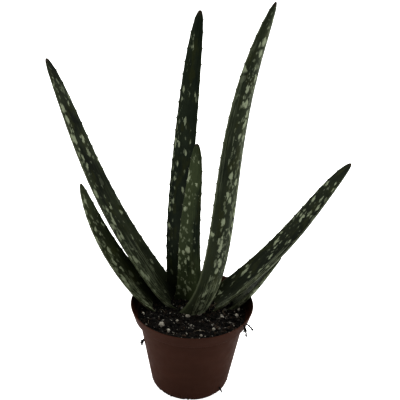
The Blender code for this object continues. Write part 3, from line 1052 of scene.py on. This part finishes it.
    def tooth(self, foot: Vector, out: Vector, way: Vector, face: Vector, size: float) -> tuple:
        """One hooked tooth.

        Args:
            foot: Middle of its foot, on the margin.
            out: Direction away from the leaf.
            way: Direction in which the leaf grows.
            face: Direction out of the leaf's face.
            size: Its size as a share of the usual.

        Returns:
            Its vertices, faces and, for each vertex, how far up the tooth it is.
        """
        rings, around = self.tooth_rings, self.tooth_around
        points, rise = [], []
        for ring in range(rings):
            up = ring / rings
            middle = foot + out * ((up * self.tooth_height - self.tooth_sunk) * MM * size)
            middle += way * (self.tooth_sweep * up**2 * MM * size)
            shrink = (1 - up) ** 0.85
            for i in range(around):
                angle = 2 * math.pi * i / around
                along = math.cos(angle) * self.tooth_foot * MM * size * shrink
                thick = math.sin(angle) * self.tooth_thick * MM * size * shrink
                points.append(middle + way * along + face * thick)
                rise.append((up, 0, 0))
        peak = foot + out * ((self.tooth_height - self.tooth_sunk) * MM * size)
        peak += way * (self.tooth_sweep * 1.1 * MM * size)
        points.append(peak)
        rise.append((1, 0, 0))
        faces = tube_faces(rings, around)
        faces.append(tuple(range(around))[::-1])
        last = (rings - 1) * around
        faces += [(last + i, last + (i + 1) % around, last + around) for i in range(around)]
        return np.array([tuple(p) for p in points]), faces, np.array(rise)


def skin(name: str, deep: Rgb, fresh: Rgb, **more: object) -> LeafSkin:
    """A leaf's variant of the skin: its deep and fresh greens are partly the leaf's own tone and partly painted shade,
    darker on the leaves that stand in shade.
    """
    return LeafSkin("leaf_skin_" + name, deep, fresh, **more)


FACE, BACK, BOTH = LeafSide.FACE, LeafSide.BACK, LeafSide.BOTH
FLECKS, STREAKS, PAINTED_LIGHT = MarkKind.FLECKS, MarkKind.STREAKS, MarkKind.PAINTED_LIGHT


@dataclass
class Aloe:
    """The plant: its stem and its seven leaves."""

    stem_above_crown: float = 4.0 * MM
    # Each leaf's greens carry painted shade, darker on the leaves that stand in shade; the third kind of mark paints
    # light on their lit sides.
    leaves: tuple[Leaf, ...] = (
        Leaf(
            "leaf_centre_short", (1, -2.5), 42, (3, -3, 4.5, -2), 196, 25, 11, 0, 32, 0.19, 2.1, 0.39,
            skin(
                "centre_short", (0.010, 0.020, 0.010), (0.084, 0.106, 0.050), foot=(0.110, 0.125, 0.050),
                fleck_width=4.6 * MM, fleck_length=8.0 * MM, fleck=(0.42, 0.46, 0.32),
            ),
            (
                Mark(FLECKS, FACE, (0.20, 1.1), (0.12, 0.97), 0.55),
                Mark(FLECKS, FACE, (-0.55, 0.20), (0.20, 0.97), 0.26),
                Mark(FLECKS, FACE, (-1.1, -0.55), (0.30, 0.97), 0.08),
                Mark(PAINTED_LIGHT, FACE, (0.15, 1.1), (0.05, 0.95), 0.70),
                Mark(PAINTED_LIGHT, FACE, (-0.30, 0.15), (0.0, 0.95), 0.34),
                Mark(PAINTED_LIGHT, FACE, (-0.6, 1.1), (0.0, 0.30), 0.75),
                Mark(FLECKS, BACK, (-1.1, 1.1), (0.15, 0.97), 0.30),
            ),
        ),
        Leaf(
            "leaf_front_tall", (-5, -5), -36, (38, 7, 9, 21.5), 365, 27, 11.25, 0, -17, 0.14, 3.7, 0.49,
            skin("front_tall", (0.019, 0.026, 0.013), (0.044, 0.055, 0.029), foot=(0.080, 0.092, 0.055)),
            (
                Mark(FLECKS, BACK, (-0.60, 1.1), (0.06, 0.97), 0.62),
                Mark(FLECKS, BACK, (-0.80, 0.9), (0.06, 0.15), 1.0),
                Mark(FLECKS, BACK, (-1.1, -0.60), (0.3, 0.97), 0.09),
                Mark(FLECKS, FACE, (-1.1, 1.1), (0.2, 0.97), 0.30),
                Mark(STREAKS, BACK, (0.15, 1.1), (0.08, 0.97), 0.36),
                Mark(STREAKS, BACK, (-1.1, -0.80), (0.45, 0.95), 0.24),
                Mark(STREAKS, BACK, (-0.8, 1.1), (0.02, 0.20), 0.85),
            ),
        ),
        Leaf(
            "leaf_back_tall", (-3, 19), 58, (-27.5, 1.5, 7, 15), 319, 24, 10, 0, 15, 0.11, 3.3, 0.41,
            skin("back_tall", (0.013, 0.021, 0.012), (0.030, 0.041, 0.023)),
            (
                Mark(FLECKS, FACE, (0.45, 0.90), (0.15, 0.97), 0.42),
                Mark(FLECKS, FACE, (-1.1, 0.40), (0.45, 0.97), 0.16),
                Mark(FLECKS, BACK, (-1.1, 1.1), (0.15, 0.97), 0.38),
            ),
        ),
        Leaf(
            "leaf_left_long", (-2.5, 0), 171.5, (33, 31, 21.5, 24.5), 300, 27, 10.75, 25, -30, 0.27, 3.6, 0.43,
            skin("left_long", (0.007, 0.011, 0.005), (0.054, 0.065, 0.036), foot=(0.085, 0.096, 0.060)),
            (
                Mark(FLECKS, BOTH, (0.42, 1.1), (0.10, 0.97), 0.78),
                Mark(FLECKS, FACE, (-1.1, 0.42), (0.12, 0.97), 0.16),
                Mark(FLECKS, BACK, (-1.1, 0.42), (0.15, 0.97), 0.42),
                Mark(PAINTED_LIGHT, FACE, (0.62, 1.1), (0.05, 0.95), 0.80),
                Mark(PAINTED_LIGHT, BACK, (-1.1, 1.1), (0.0, 1.0), 0.75),
                Mark(PAINTED_LIGHT, FACE, (-1.1, 1.1), (0.0, 0.28), 0.60),
                Mark(STREAKS, BOTH, (-0.3, 1.1), (0.02, 0.34), 0.52),
            ),
        ),
        Leaf(
            "leaf_right_long", (6, -1), 1.5, (37, 42.5, 33.5, 40), 228, 25, 10.25, 0, 25, 0.08, 3.7, 0.48,
            skin("right_long", (0.008, 0.013, 0.006), (0.022, 0.029, 0.012)),
            (
                Mark(FLECKS, FACE, (-1.1, 1.1), (0.40, 0.88), 0.36),
                Mark(FLECKS, FACE, (-1.1, 1.1), (0.10, 0.40), 0.30),
                Mark(FLECKS, BACK, (-1.1, 1.1), (0.10, 0.92), 0.46),
                Mark(STREAKS, BACK, (-1.1, 1.1), (0.05, 0.60), 0.75),
                Mark(STREAKS, FACE, (-1.1, -0.55), (0.05, 0.55), 0.55),
            ),
        ),
        Leaf(
            "leaf_left_small", (-17, -1.5), 182, (42, 35.5, 25, 15.5), 178, 25, 9.75, 6, -35, 0.15, 3.2, 0.55,
            skin("left_small", (0.018, 0.023, 0.010), (0.056, 0.067, 0.031)),
            (
                Mark(FLECKS, BOTH, (0.10, 1.1), (0.12, 0.97), 0.62),
                Mark(FLECKS, FACE, (-1.1, 0.10), (0.2, 0.97), 0.14),
                Mark(FLECKS, BACK, (-1.1, 0.10), (0.15, 0.97), 0.40),
                Mark(STREAKS, BOTH, (0.0, 1.1), (0.05, 0.4), 0.65),
                Mark(PAINTED_LIGHT, FACE, (0.55, 1.1), (0.0, 0.95), 0.55),
                Mark(PAINTED_LIGHT, BACK, (-1.1, 1.1), (0.0, 1.0), 0.60),
            ),
        ),
        Leaf(
            "leaf_right_small", (18.5, 1), 2.5, (53, 46, 37.5, 46), 102, 23, 10, 0, -1, 0.16, 2.4, 0.61,
            skin("right_small", (0.026, 0.032, 0.015), (0.068, 0.083, 0.042)),
            (
                Mark(FLECKS, BOTH, (-1.1, 1.1), (0.2, 0.97), 0.45),
                Mark(STREAKS, BOTH, (-1.1, 1.1), (0.1, 0.8), 0.80),
                Mark(PAINTED_LIGHT, BACK, (-1.1, 1.1), (0.0, 1.0), 0.55),
            ),
        ),
    )
    maker: BladeMaker = BladeMaker()
    horn: ToothHorn = ToothHorn("tooth_horn")
    bark: StemBark = StemBark("stem_bark")

    def build(self) -> None:
        """Builds the blades and teeth over the frame's leaves, and dresses the stem."""
        low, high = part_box("stem")
        crown = Vector(((low.x + high.x) / 2, (low.y + high.y) / 2, high.z - self.stem_above_crown))
        self.bark.apply(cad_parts["stem"])
        for leaf in self.leaves:
            blade = self.maker.blade(leaf, crown)
            leaf.skin.apply(blade)
            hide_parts(leaf.node)
            fit(blade)
            teeth = self.maker.teeth(leaf, crown)
            self.horn.apply(teeth)
            fit(teeth)


def fit(piece: bpy.types.Object) -> None:
    """Fixes a piece to the plant's one body."""
    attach(piece, "root")
    LOG.info("%s: %d faces", piece.name, len(piece.data.polygons))


# ------------------------------------------------------------------------------------------------
# The pot
# ------------------------------------------------------------------------------------------------


@dataclass
class NurseryPot:
    """The round tapered pot with its wider collar, rolled lip and drain slots; sizes from its base up."""

    collar_height: float = 13.0 * MM
    collar_foot_radius: float = 56.2 * MM
    shoulder_radius: float = 51.6 * MM
    shoulder_drop: float = 1.6 * MM
    heel_radius: float = 38.6 * MM
    heel_height: float = 6.5 * MM
    heel_rounding: float = 1.3 * MM
    foot_radius: float = 34.8 * MM
    foot_inner_radius: float = 29.0 * MM
    disc_radius: float = 18.0 * MM
    recess: float = 1.2 * MM
    wall: float = 1.0 * MM
    lip: float = 0.55 * MM
    steps: int = 192
    drain_count: int = 8
    drain_width: float = 9.0 * MM
    drain_height: float = 3.2 * MM
    drain_inner_radius: float = 31.5 * MM
    plastic: PotPlastic = PotPlastic("pot_shell_plastic")

    def outside(self, rim: float, top: float) -> list[Span]:
        """Outer line of the pot, from near the centre of its underside to the lip."""
        foot = top - self.collar_height
        line = [
            (0.4 * MM, 0.0),
            (self.disc_radius, 0.0),
            (self.disc_radius + self.recess, self.recess),
            (self.foot_inner_radius - self.recess, self.recess),
            (self.foot_inner_radius, 0.0),
            (self.foot_radius, 0.0),
            (self.heel_radius - self.heel_rounding, self.heel_height / 2 - self.heel_rounding / 2),
            (self.heel_radius, self.heel_height),
            (self.shoulder_radius, foot - self.shoulder_drop),
            (self.collar_foot_radius, foot),
            (rim, top - self.lip),
            (rim - self.wall / 2, top),
        ]
        reach = [0, 0.4, 0.4, 0.4, 0.4, 0.9, 1.2, 1.2, 0.7, 0.6, 0.35, 0]
        return rounded_line(line, [share * MM for share in reach])

    def inside(self, rim: float, top: float) -> list[Span]:
        """Inner line of the pot, from the lip down to near the centre of its floor."""
        foot = top - self.collar_height
        wall = self.wall
        line = [
            (rim - wall / 2, top),
            (rim - wall, top - self.lip),
            (self.collar_foot_radius - wall, foot + 0.5 * wall),
            (self.shoulder_radius - wall, foot - self.shoulder_drop + 0.5 * wall),
            (self.heel_radius - wall, self.heel_height + 0.1 * wall),
            (self.foot_radius - 0.5 * wall, wall),
            (self.foot_inner_radius + 0.4 * wall, wall),
            (self.foot_inner_radius - self.recess - 0.4 * wall, wall + self.recess),
            (self.disc_radius + self.recess + 0.4 * wall, wall + self.recess),
            (self.disc_radius + 0.4 * wall, wall),
            (0.4 * MM, wall),
        ]
        reach = [0, 0.35, 0.6, 0.6, 1.0, 0.5, 0.3, 0.3, 0.3, 0.3, 0]
        return rounded_line(line, [share * MM for share in reach])

    def drains(self) -> bpy.types.Object:
        """The cutter for all the drain slots."""
        gathered = Scatter("drain_cutter")
        outer = self.heel_radius + 4 * self.wall
        ring = ((self.drain_inner_radius, -1), (outer, -1), (outer, 1), (self.drain_inner_radius, 1))
        for k in range(self.drain_count):
            angle = -math.pi / 2 + 2 * math.pi * k / self.drain_count
            out = Vector((math.cos(angle), math.sin(angle), 0))
            side = Vector((-out.y, out.x, 0)) * self.drain_width / 2
            points = []
            for height in (-4 * self.wall, self.drain_height):
                points += [tuple(out * radius + side * turn + Vector((0, 0, height))) for radius, turn in ring]
            faces = tube_faces(2, 4) + [(3, 2, 1, 0), (4, 5, 6, 7)]
            gathered.add(np.array(points), faces, np.zeros(3))
        return gathered.build(30)

    def build(self) -> None:
        """Builds the pot over the frame's own, and cuts its drain slots."""
        _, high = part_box("pot")
        profile = self.outside(high.x, high.z) + self.inside(high.x, high.z)[1:]
        points = lathe_points(profile, self.steps)
        faces = tube_faces(len(profile), self.steps)
        last = (len(profile) - 1) * self.steps
        faces.append(tuple(range(self.steps))[::-1])
        faces.append(tuple(range(last, last + self.steps)))
        pot = mesh_object("pot_shell", points, faces, 30)
        cutter = self.drains()
        slots = pot.modifiers.new("drains", "BOOLEAN")
        slots.operation, slots.solver, slots.object = "DIFFERENCE", "EXACT", cutter
        graph = bpy.context.evaluated_depsgraph_get()
        cut = bpy.data.meshes.new_from_object(pot.evaluated_get(graph))
        pot.modifiers.clear()
        pot.data = cut
        cut.name = "pot_shell"
        bpy.data.objects.remove(cutter)
        cut.shade_smooth()
        cut.set_sharp_from_angle(angle=math.radians(32))
        self.plastic.apply(pot)
        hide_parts("pot")
        fit(pot)


# ------------------------------------------------------------------------------------------------
# The soil and what lies in it
# ------------------------------------------------------------------------------------------------


@dataclass
class SoilBed:
    """The filling of the pot: a lumpy bed under loose crumbs, bark chips, grit and dry fibres."""

    edge_below_rim: float = 12.6 * MM
    rise: float = 4.6 * MM
    gap: float = 0.5 * MM
    rings: int = 70
    steps: int = 200
    lump: float = 1.0 * MM
    crumbs: int = 5200
    chips: int = 150
    fibres: int = 20
    white_crumbs: int = 45
    crumb: SoilCrumb = SoilCrumb("soil_crumb")
    bed_finish: SoilCrumb = SoilCrumb("soil_bed", own_tones=False)
    fibre: DryFibre = DryFibre("dry_fibre")
    perlite: PerliteGlass = PerliteGlass("perlite_glass")

    def __post_init__(self) -> None:
        """Reads where the soil is from the frame."""
        self.low, self.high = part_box("soil")
        self.edge_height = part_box("pot")[1].z - self.edge_below_rim
        self.edge_radius = self.high.x - self.gap

    def height(self, x: float, y: float) -> float:
        """Height of the soil's surface here."""
        share = min(1.0, math.hypot(x, y) / self.edge_radius)
        lump = noise.noise(Vector((x, y, 0)) * 110) + 0.5 * noise.noise(Vector((x, y, 0.5)) * 300)
        return self.edge_height + self.rise * (1 - share**2) + lump * self.lump * 0.6

    def bed(self) -> bpy.types.Object:
        """The closed body of the soil with its fine lumpy top."""
        pot = NurseryPot()
        inset = pot.wall + self.gap
        side = [
            (0.4 * MM, self.low.z),
            (pot.foot_radius - inset, self.low.z),
            (pot.heel_radius - inset, pot.heel_height + inset),
            (pot.shoulder_radius - inset, self.edge_height - self.gap),
            (self.edge_radius, self.edge_height),
        ]
        points = [lathe_points(side, self.steps)]
        for ring in range(1, self.rings + 1):
            radius = self.edge_radius * (1 - ring / (self.rings + 0.5))
            layer = lathe_points([(radius, 0.0)], self.steps)
            layer[:, 2] = [self.height(x, y) for x, y in layer[:, :2]]
            points.append(layer)
        count = len(side) + self.rings
        faces = tube_faces(count, self.steps)
        last = (count - 1) * self.steps
        faces.append(tuple(range(self.steps))[::-1])
        faces.append(tuple(range(last, last + self.steps)))
        return mesh_object("soil_bed", np.concatenate(points), faces, 80)

    def spot(self, dice: random.Random, margin: float) -> Vector:
        """A random place on the surface, at least the margin from its edge."""
        radius = (self.edge_radius - margin) * math.sqrt(dice.random())
        angle = dice.uniform(0, 2 * math.pi)
        x, y = radius * math.cos(angle), radius * math.sin(angle)
        return Vector((x, y, self.height(x, y)))

    def loose_crumbs(self) -> bpy.types.Object:
        """The peat crumbs and grit that cover the bed."""
        dice = random.Random(21)
        shapes = [Shard.drawn(dice, 16, dice.uniform(0.6, 1.0)) for _ in range(16)]
        gathered = Scatter("soil_crumbs")
        for _ in range(self.crumbs):
            size = (0.40 + 1.60 * dice.random() ** 2.6) * MM
            centre = self.spot(dice, size)
            centre.z += size * dice.uniform(-0.35, 0.55)
            form = Vector((size * dice.uniform(0.8, 1.3), size, size * dice.uniform(0.7, 1.0)))
            tone = dice.random() ** 1.25
            shape = dice.choice(shapes)
            gathered.add(shape.placed(centre, form, random_turn(dice)), shape.faces, np.array((tone, size, 0)))
        return gathered.build(25)

    def bark_chips(self) -> bpy.types.Object:
        """The flat chips of bark among the crumbs."""
        dice = random.Random(33)
        shapes = [Shard.drawn(dice, 14, 0.28) for _ in range(9)]
        gathered = Scatter("bark_chips")
        for _ in range(self.chips):
            size = dice.uniform(1.1, 2.6) * MM
            centre = self.spot(dice, size + 1 * MM)
            centre.z += 0.35 * size
            form = Vector((size * dice.uniform(1.0, 1.9), size * 0.8, size))
            tilt = Matrix.Rotation(dice.uniform(-0.5, 0.5), 3, "X") @ Matrix.Rotation(dice.uniform(-0.5, 0.5), 3, "Y")
            turn = Matrix.Rotation(dice.uniform(0, 2 * math.pi), 3, "Z") @ tilt
            shape = dice.choice(shapes)
            tone = dice.uniform(0.45, 0.84)
            gathered.add(shape.placed(centre, form, turn), shape.faces, np.array((tone, size, 0)))
        return gathered.build(25)

    def small_perlite(self) -> bpy.types.Object:
        """The perlite crumbs too small to be pieces of their own."""
        dice = random.Random(54)
        shapes = [Shard.drawn(dice, 30, dice.uniform(0.7, 1.0)) for _ in range(8)]
        gathered = Scatter("perlite_crumbs")
        for _ in range(self.white_crumbs):
            size = dice.uniform(0.35, 0.95) * MM
            centre = self.spot(dice, size)
            centre.z += size * 0.4
            shape = dice.choice(shapes)
            form = Vector((size, size * dice.uniform(0.75, 1.0), size * dice.uniform(0.7, 1.0)))
            gathered.add(shape.placed(centre, form, random_turn(dice)), shape.faces, np.zeros(3))
        return gathered.build(50)

    def dry_fibres(self) -> bpy.types.Object:
        """The thin dry threads that lie among the crumbs."""
        dice = random.Random(62)
        gathered = Scatter("dry_fibres")
        for _ in range(self.fibres):
            reach = dice.uniform(4, 14) * MM
            start = self.spot(dice, reach * 0.6 + 3 * MM)
            angle = dice.uniform(0, 2 * math.pi)
            curl = dice.uniform(-60, 60)
            lift = dice.uniform(0.3, 1.6) * MM
            points = []
            here = Vector((start.x, start.y, 0))
            steps = 14
            for i in range(steps + 1):
                share = i / steps
                on_soil = self.height(here.x, here.y) + 0.9 * MM
                points.append(Vector((here.x, here.y, on_soil + lift * math.sin(math.pi * share))))
                angle += curl * reach / steps + dice.uniform(-0.12, 0.12)
                here = here + Vector((math.cos(angle), math.sin(angle), 0)) * (reach / steps)
            tone = np.array((dice.random(), 0, 0))
            gathered.add(*thread(points, dice.uniform(0.10, 0.24) * MM), tone)
        return gathered.build(60)

    def build(self) -> None:
        """Builds the bed over the frame's soil, and all that lies loose on it."""
        bed = self.bed()
        self.bed_finish.apply(bed)
        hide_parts("soil")
        fit(bed)
        loose = ((self.loose_crumbs(), self.crumb, "soil"), (self.bark_chips(), self.crumb, "soil"))
        light = ((self.small_perlite(), self.perlite, "perlite"), (self.dry_fibres(), self.fibre, "soil"))
        for piece, finish, slot in loose + light:
            finish.apply(piece)
            fit(piece)


@dataclass
class CoarsePerlite:
    """The ten coarse perlite grains, each grown in detail where the frame has it."""

    count: int = 10
    subdivisions: int = 4
    lump: float = 0.30
    pit: float = 0.12
    facets: int = 11
    facet_reach: Span = (0.66, 0.92)
    perlite: PerliteGlass = PerliteGlass("perlite_glass")

    def grain(self, name: str, seed: int) -> bpy.types.Object:
        """One pitted grain that fills the frame's box for it.

        Args:
            name: The frame's node.
            seed: Sets its shape.

        Returns:
            The grain.
        """
        low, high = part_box(name)
        centre, half = (low + high) / 2, (high - low) / 2
        dice = random.Random(400 + seed)
        planes = []
        for _ in range(self.facets):
            way = Vector((dice.gauss(0, 1), dice.gauss(0, 1), dice.gauss(0, 1))).normalized()
            planes.append((way, dice.uniform(*self.facet_reach)))
        work = bmesh.new()
        bmesh.ops.create_icosphere(work, subdivisions=self.subdivisions, radius=1.0)
        for vertex in work.verts:
            way = vertex.co.normalized()
            lumps = noise.noise(way * 1.3 + Vector((seed * 7.1, 0, 0)))
            pits = noise.cell(way * 4.5 + Vector((seed * 3.3, 0, 0)))
            fine = noise.noise(way * 6 + Vector((0, seed * 5.2, 0)))
            broken = min((reach / max(way.dot(plane), 0.01) for plane, reach in planes), default=1.0)
            reach = min(1.0 + self.lump * lumps, broken) + self.pit * fine - self.pit * 0.5 * max(0.0, pits)
            vertex.co = centre + Vector((way.x * half.x, way.y * half.y, way.z * half.z)) * reach
        mesh = bpy.data.meshes.new(name + "_grain")
        work.to_mesh(mesh)
        work.free()
        mesh.shade_smooth()
        made = bpy.data.objects.new(name + "_grain", mesh)
        bpy.context.scene.collection.objects.link(made)
        return made

    def build(self) -> None:
        """Builds every grain over the frame's own."""
        for k in range(1, self.count + 1):
            name = f"perlite_{k}"
            grain = self.grain(name, k)
            self.perlite.apply(grain)
            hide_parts(name)
            fit(grain)


@dataclass(frozen=True)
class Wisp:
    """One root wisp on the outside of the pot: angles in degrees, lengths in metres."""

    angle: float
    height: float
    drop: float
    reach: float
    drift: float


@dataclass
class StrayBits:
    """Root wisps that hang off the pot, and crumbs that stick by its drain slots."""

    radius: float = 0.70 * MM
    wisps: tuple[Wisp, ...] = (
        Wisp(-31, 91 * MM, 7 * MM, 8.0 * MM, 2.5),
        Wisp(-33, 91 * MM, 12 * MM, 5.0 * MM, -1.5),
        Wisp(-32, 90 * MM, 5 * MM, 3.5 * MM, -4.0),
        Wisp(188, 52 * MM, 5 * MM, 3.6 * MM, 2.0),
        Wisp(187, 50 * MM, 8 * MM, 2.8 * MM, -2.5),
        Wisp(-42, 11 * MM, 7 * MM, 2.8 * MM, 3.0),
    )
    wisp_steps: int = 12
    wisp_bow: float = 1.45
    wisp_crumb_from: int = 5
    wisp_crumb_size: Span = (0.6, 1.7)
    crumbs: int = 260
    crumb_size: Span = (0.35, 1.5)
    crumb_spread: float = 13.0
    crumbs_below: float = 5.0 * MM
    crumb: SoilCrumb = SoilCrumb("soil_crumb")

    def __post_init__(self) -> None:
        """Works out the pot's outer radius at each height where its wall turns."""
        pot, top = NurseryPot(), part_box("pot")[1]
        foot = top.z - pot.collar_height
        self.heights = (0.0, pot.heel_height, foot - pot.shoulder_drop, foot, top.z)
        self.radii = (pot.foot_radius, pot.heel_radius, pot.shoulder_radius, pot.collar_foot_radius, top.x)

    def outside(self, z: float) -> float:
        """Outer radius of the pot at this height."""
        return float(np.interp(z, self.heights, self.radii))

    def add_crumb(self, gathered: Scatter, dice: random.Random, shape: Shard, centre: Vector, size: float) -> None:
        """Adds one crumb.

        Args:
            gathered: Where it goes.
            dice: Source of the random numbers.
            shape: Its shape.
            centre: Its middle.
            size: Its size, in metres.
        """
        form = Vector((size, size * dice.uniform(0.7, 1.0), size * dice.uniform(0.6, 1.0)))
        tone = np.array((dice.uniform(0.05, 0.6), 0, 0))
        gathered.add(shape.placed(centre, form, random_turn(dice)), shape.faces, tone)

    def build(self) -> None:
        """Builds the wisps and the stray crumbs as one piece."""
        dice = random.Random(77)
        shapes = [Shard.drawn(dice, 14, 0.8) for _ in range(6)]
        gathered = Scatter("stray_bits")
        for wisp in self.wisps:
            points = []
            for i in range(self.wisp_steps + 1):
                share = i / self.wisp_steps
                outer = self.outside(wisp.height) - self.radius + wisp.reach * math.sin(self.wisp_bow * share)
                angle = math.radians(wisp.angle + wisp.drift * share + dice.uniform(-0.35, 0.35))
                z = wisp.height - wisp.drop * share**1.3
                points.append(Vector((outer * math.cos(angle), outer * math.sin(angle), z)))
            gathered.add(*thread(points, self.radius), np.array((dice.uniform(0.05, 0.30), 0, 0)))
            for point in points[self.wisp_crumb_from :]:
                shape = dice.choice(shapes)
                self.add_crumb(gathered, dice, shape, point, dice.uniform(*self.wisp_crumb_size) * MM)
        for _ in range(self.crumbs):
            angle = math.radians(45 * dice.randrange(8) - 90 + dice.gauss(0, self.crumb_spread))
            size = dice.uniform(*self.crumb_size) * MM
            z = dice.uniform(1.3 * size, self.crumbs_below)
            outer = self.outside(z) + dice.uniform(-0.4, 0.3) * MM
            centre = Vector((outer * math.cos(angle), outer * math.sin(angle), z))
            self.add_crumb(gathered, dice, dice.choice(shapes), centre, size)
        made = gathered.build(25)
        self.crumb.apply(made)
        fit(made)


# ------------------------------------------------------------------------------------------------
# The studio
# ------------------------------------------------------------------------------------------------


@dataclass(frozen=True)
class SoftBox:
    """One large soft light that faces the middle of the plant."""

    name: str
    place: tuple[float, float, float]
    size: Span
    power: float

    def build(self, target: Vector) -> None:
        """Places the light.

        Args:
            target: What it faces.
        """
        lamp = bpy.data.lights.new(self.name, "AREA")
        lamp.shape = "RECTANGLE"
        lamp.size, lamp.size_y = self.size
        lamp.energy = self.power
        made = bpy.data.objects.new(self.name, lamp)
        made.location = self.place
        made.rotation_euler = (target - Vector(self.place)).to_track_quat("-Z", "Y").to_euler()
        bpy.context.scene.collection.objects.link(made)


@dataclass
class Studio:
    """Camera, pale floor, white surroundings and soft boxes."""

    lens: float = 100.8
    sensor: float = 36.0
    distance: float = 1.1
    elevation: float = 34.0
    pitch: float = 28.749
    yaw: float = 0.2653
    roll: float = 2.0
    floor_radius: float = 5.0
    front_glow: float = 0.10
    back_glow: float = 0.55
    floor_paint: FloorPaint = FloorPaint("floor_paint")
    boxes: tuple[SoftBox, ...] = (
        SoftBox("left_box", (-1.3, -0.1, 0.8), (1.0, 1.4), 6.0),
        SoftBox("right_box", (1.3, -0.1, 0.8), (1.0, 1.4), 6.0),
        SoftBox("top_box", (0.0, 0.4, 1.7), (1.6, 1.2), 6.0),
    )

    def camera(self) -> None:
        """Stands the camera in front of the pot, looking down over its rim, and tips it a little."""
        rim = Vector((0, 0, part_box("pot")[1].z))
        lift = math.radians(self.elevation)
        place = rim + Vector((0, -math.cos(lift), math.sin(lift))) * self.distance
        pitch, yaw, roll = (math.radians(angle) for angle in (self.pitch, self.yaw, self.roll))
        ahead = Vector((math.sin(yaw) * math.cos(pitch), math.cos(yaw) * math.cos(pitch), -math.sin(pitch)))
        right = ahead.cross(Vector((0, 0, 1))).normalized()
        up = right.cross(ahead)
        tipped_right = right * math.cos(roll) + up * math.sin(roll)
        tipped_up = up * math.cos(roll) - right * math.sin(roll)
        lens = bpy.data.cameras.new("camera")
        lens.lens, lens.sensor_width = self.lens, self.sensor
        lens.clip_start, lens.clip_end = 0.01, 50.0
        made = bpy.data.objects.new("camera", lens)
        turn = Matrix((tipped_right, tipped_up, -ahead)).transposed()
        made.matrix_world = Matrix.Translation(place) @ turn.to_4x4()
        bpy.context.scene.collection.objects.link(made)
        bpy.context.scene.camera = made

    def floor(self) -> None:
        """A wide round floor, its edge too far away to see."""
        steps = 96
        profile = [(self.floor_radius * share, 0.0) for share in (0.02, 0.1, 0.3, 0.6, 1.0)]
        points = lathe_points(profile, steps)
        faces = tube_faces(len(profile), steps)
        faces.append(tuple(range(steps))[::-1])
        made = mesh_object("studio_floor", points, faces)
        if made.data.polygons[0].normal.z < 0:
            made.data.flip_normals()
        self.floor_paint.apply(made)
        made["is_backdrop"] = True

    def surroundings(self) -> None:
        """White surroundings, bright behind and at the sides, dim behind the camera."""
        world = bpy.data.worlds.new("white_tent")
        world.use_nodes = True
        bench = NodeBench(world.node_tree)
        way = bench.parts(bench.place("ShaderNodeTexCoord").outputs["Generated"])
        sides = bench.math("MULTIPLY", bench.math("ABSOLUTE", way["X"]), 0.55)
        back = bench.math("ADD", way["Y"], bench.math("ADD", sides, bench.math("MULTIPLY", way["Z"], 0.35)))
        glow = bench.spread(back, -0.75, 0.35, (self.front_glow, self.back_glow))
        background = world.node_tree.nodes["Background"]
        background.inputs["Color"].default_value = (1.0, 1.0, 1.0, 1.0)
        bench.join(glow, background.inputs["Strength"])
        bpy.context.scene.world = world

    def build(self) -> None:
        """Builds the whole studio."""
        self.camera()
        self.floor()
        self.surroundings()
        low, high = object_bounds()
        for box in self.boxes:
            box.build((low + high) / 2)
        settings = bpy.context.scene.view_settings
        settings.view_transform, settings.look = "Standard", "High Contrast"


def main() -> None:
    """Builds the pot, the soil, the plant and the studio, in that order."""
    logging.basicConfig(level=logging.INFO, format="%(name)s: %(message)s")
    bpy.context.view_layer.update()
    for sub_assembly in (NurseryPot(), SoilBed(), CoarsePerlite(), StrayBits(), Aloe(), Studio()):
        sub_assembly.build()
        LOG.info("%s done", type(sub_assembly).__name__)


if __name__ == "__main__":
    main()
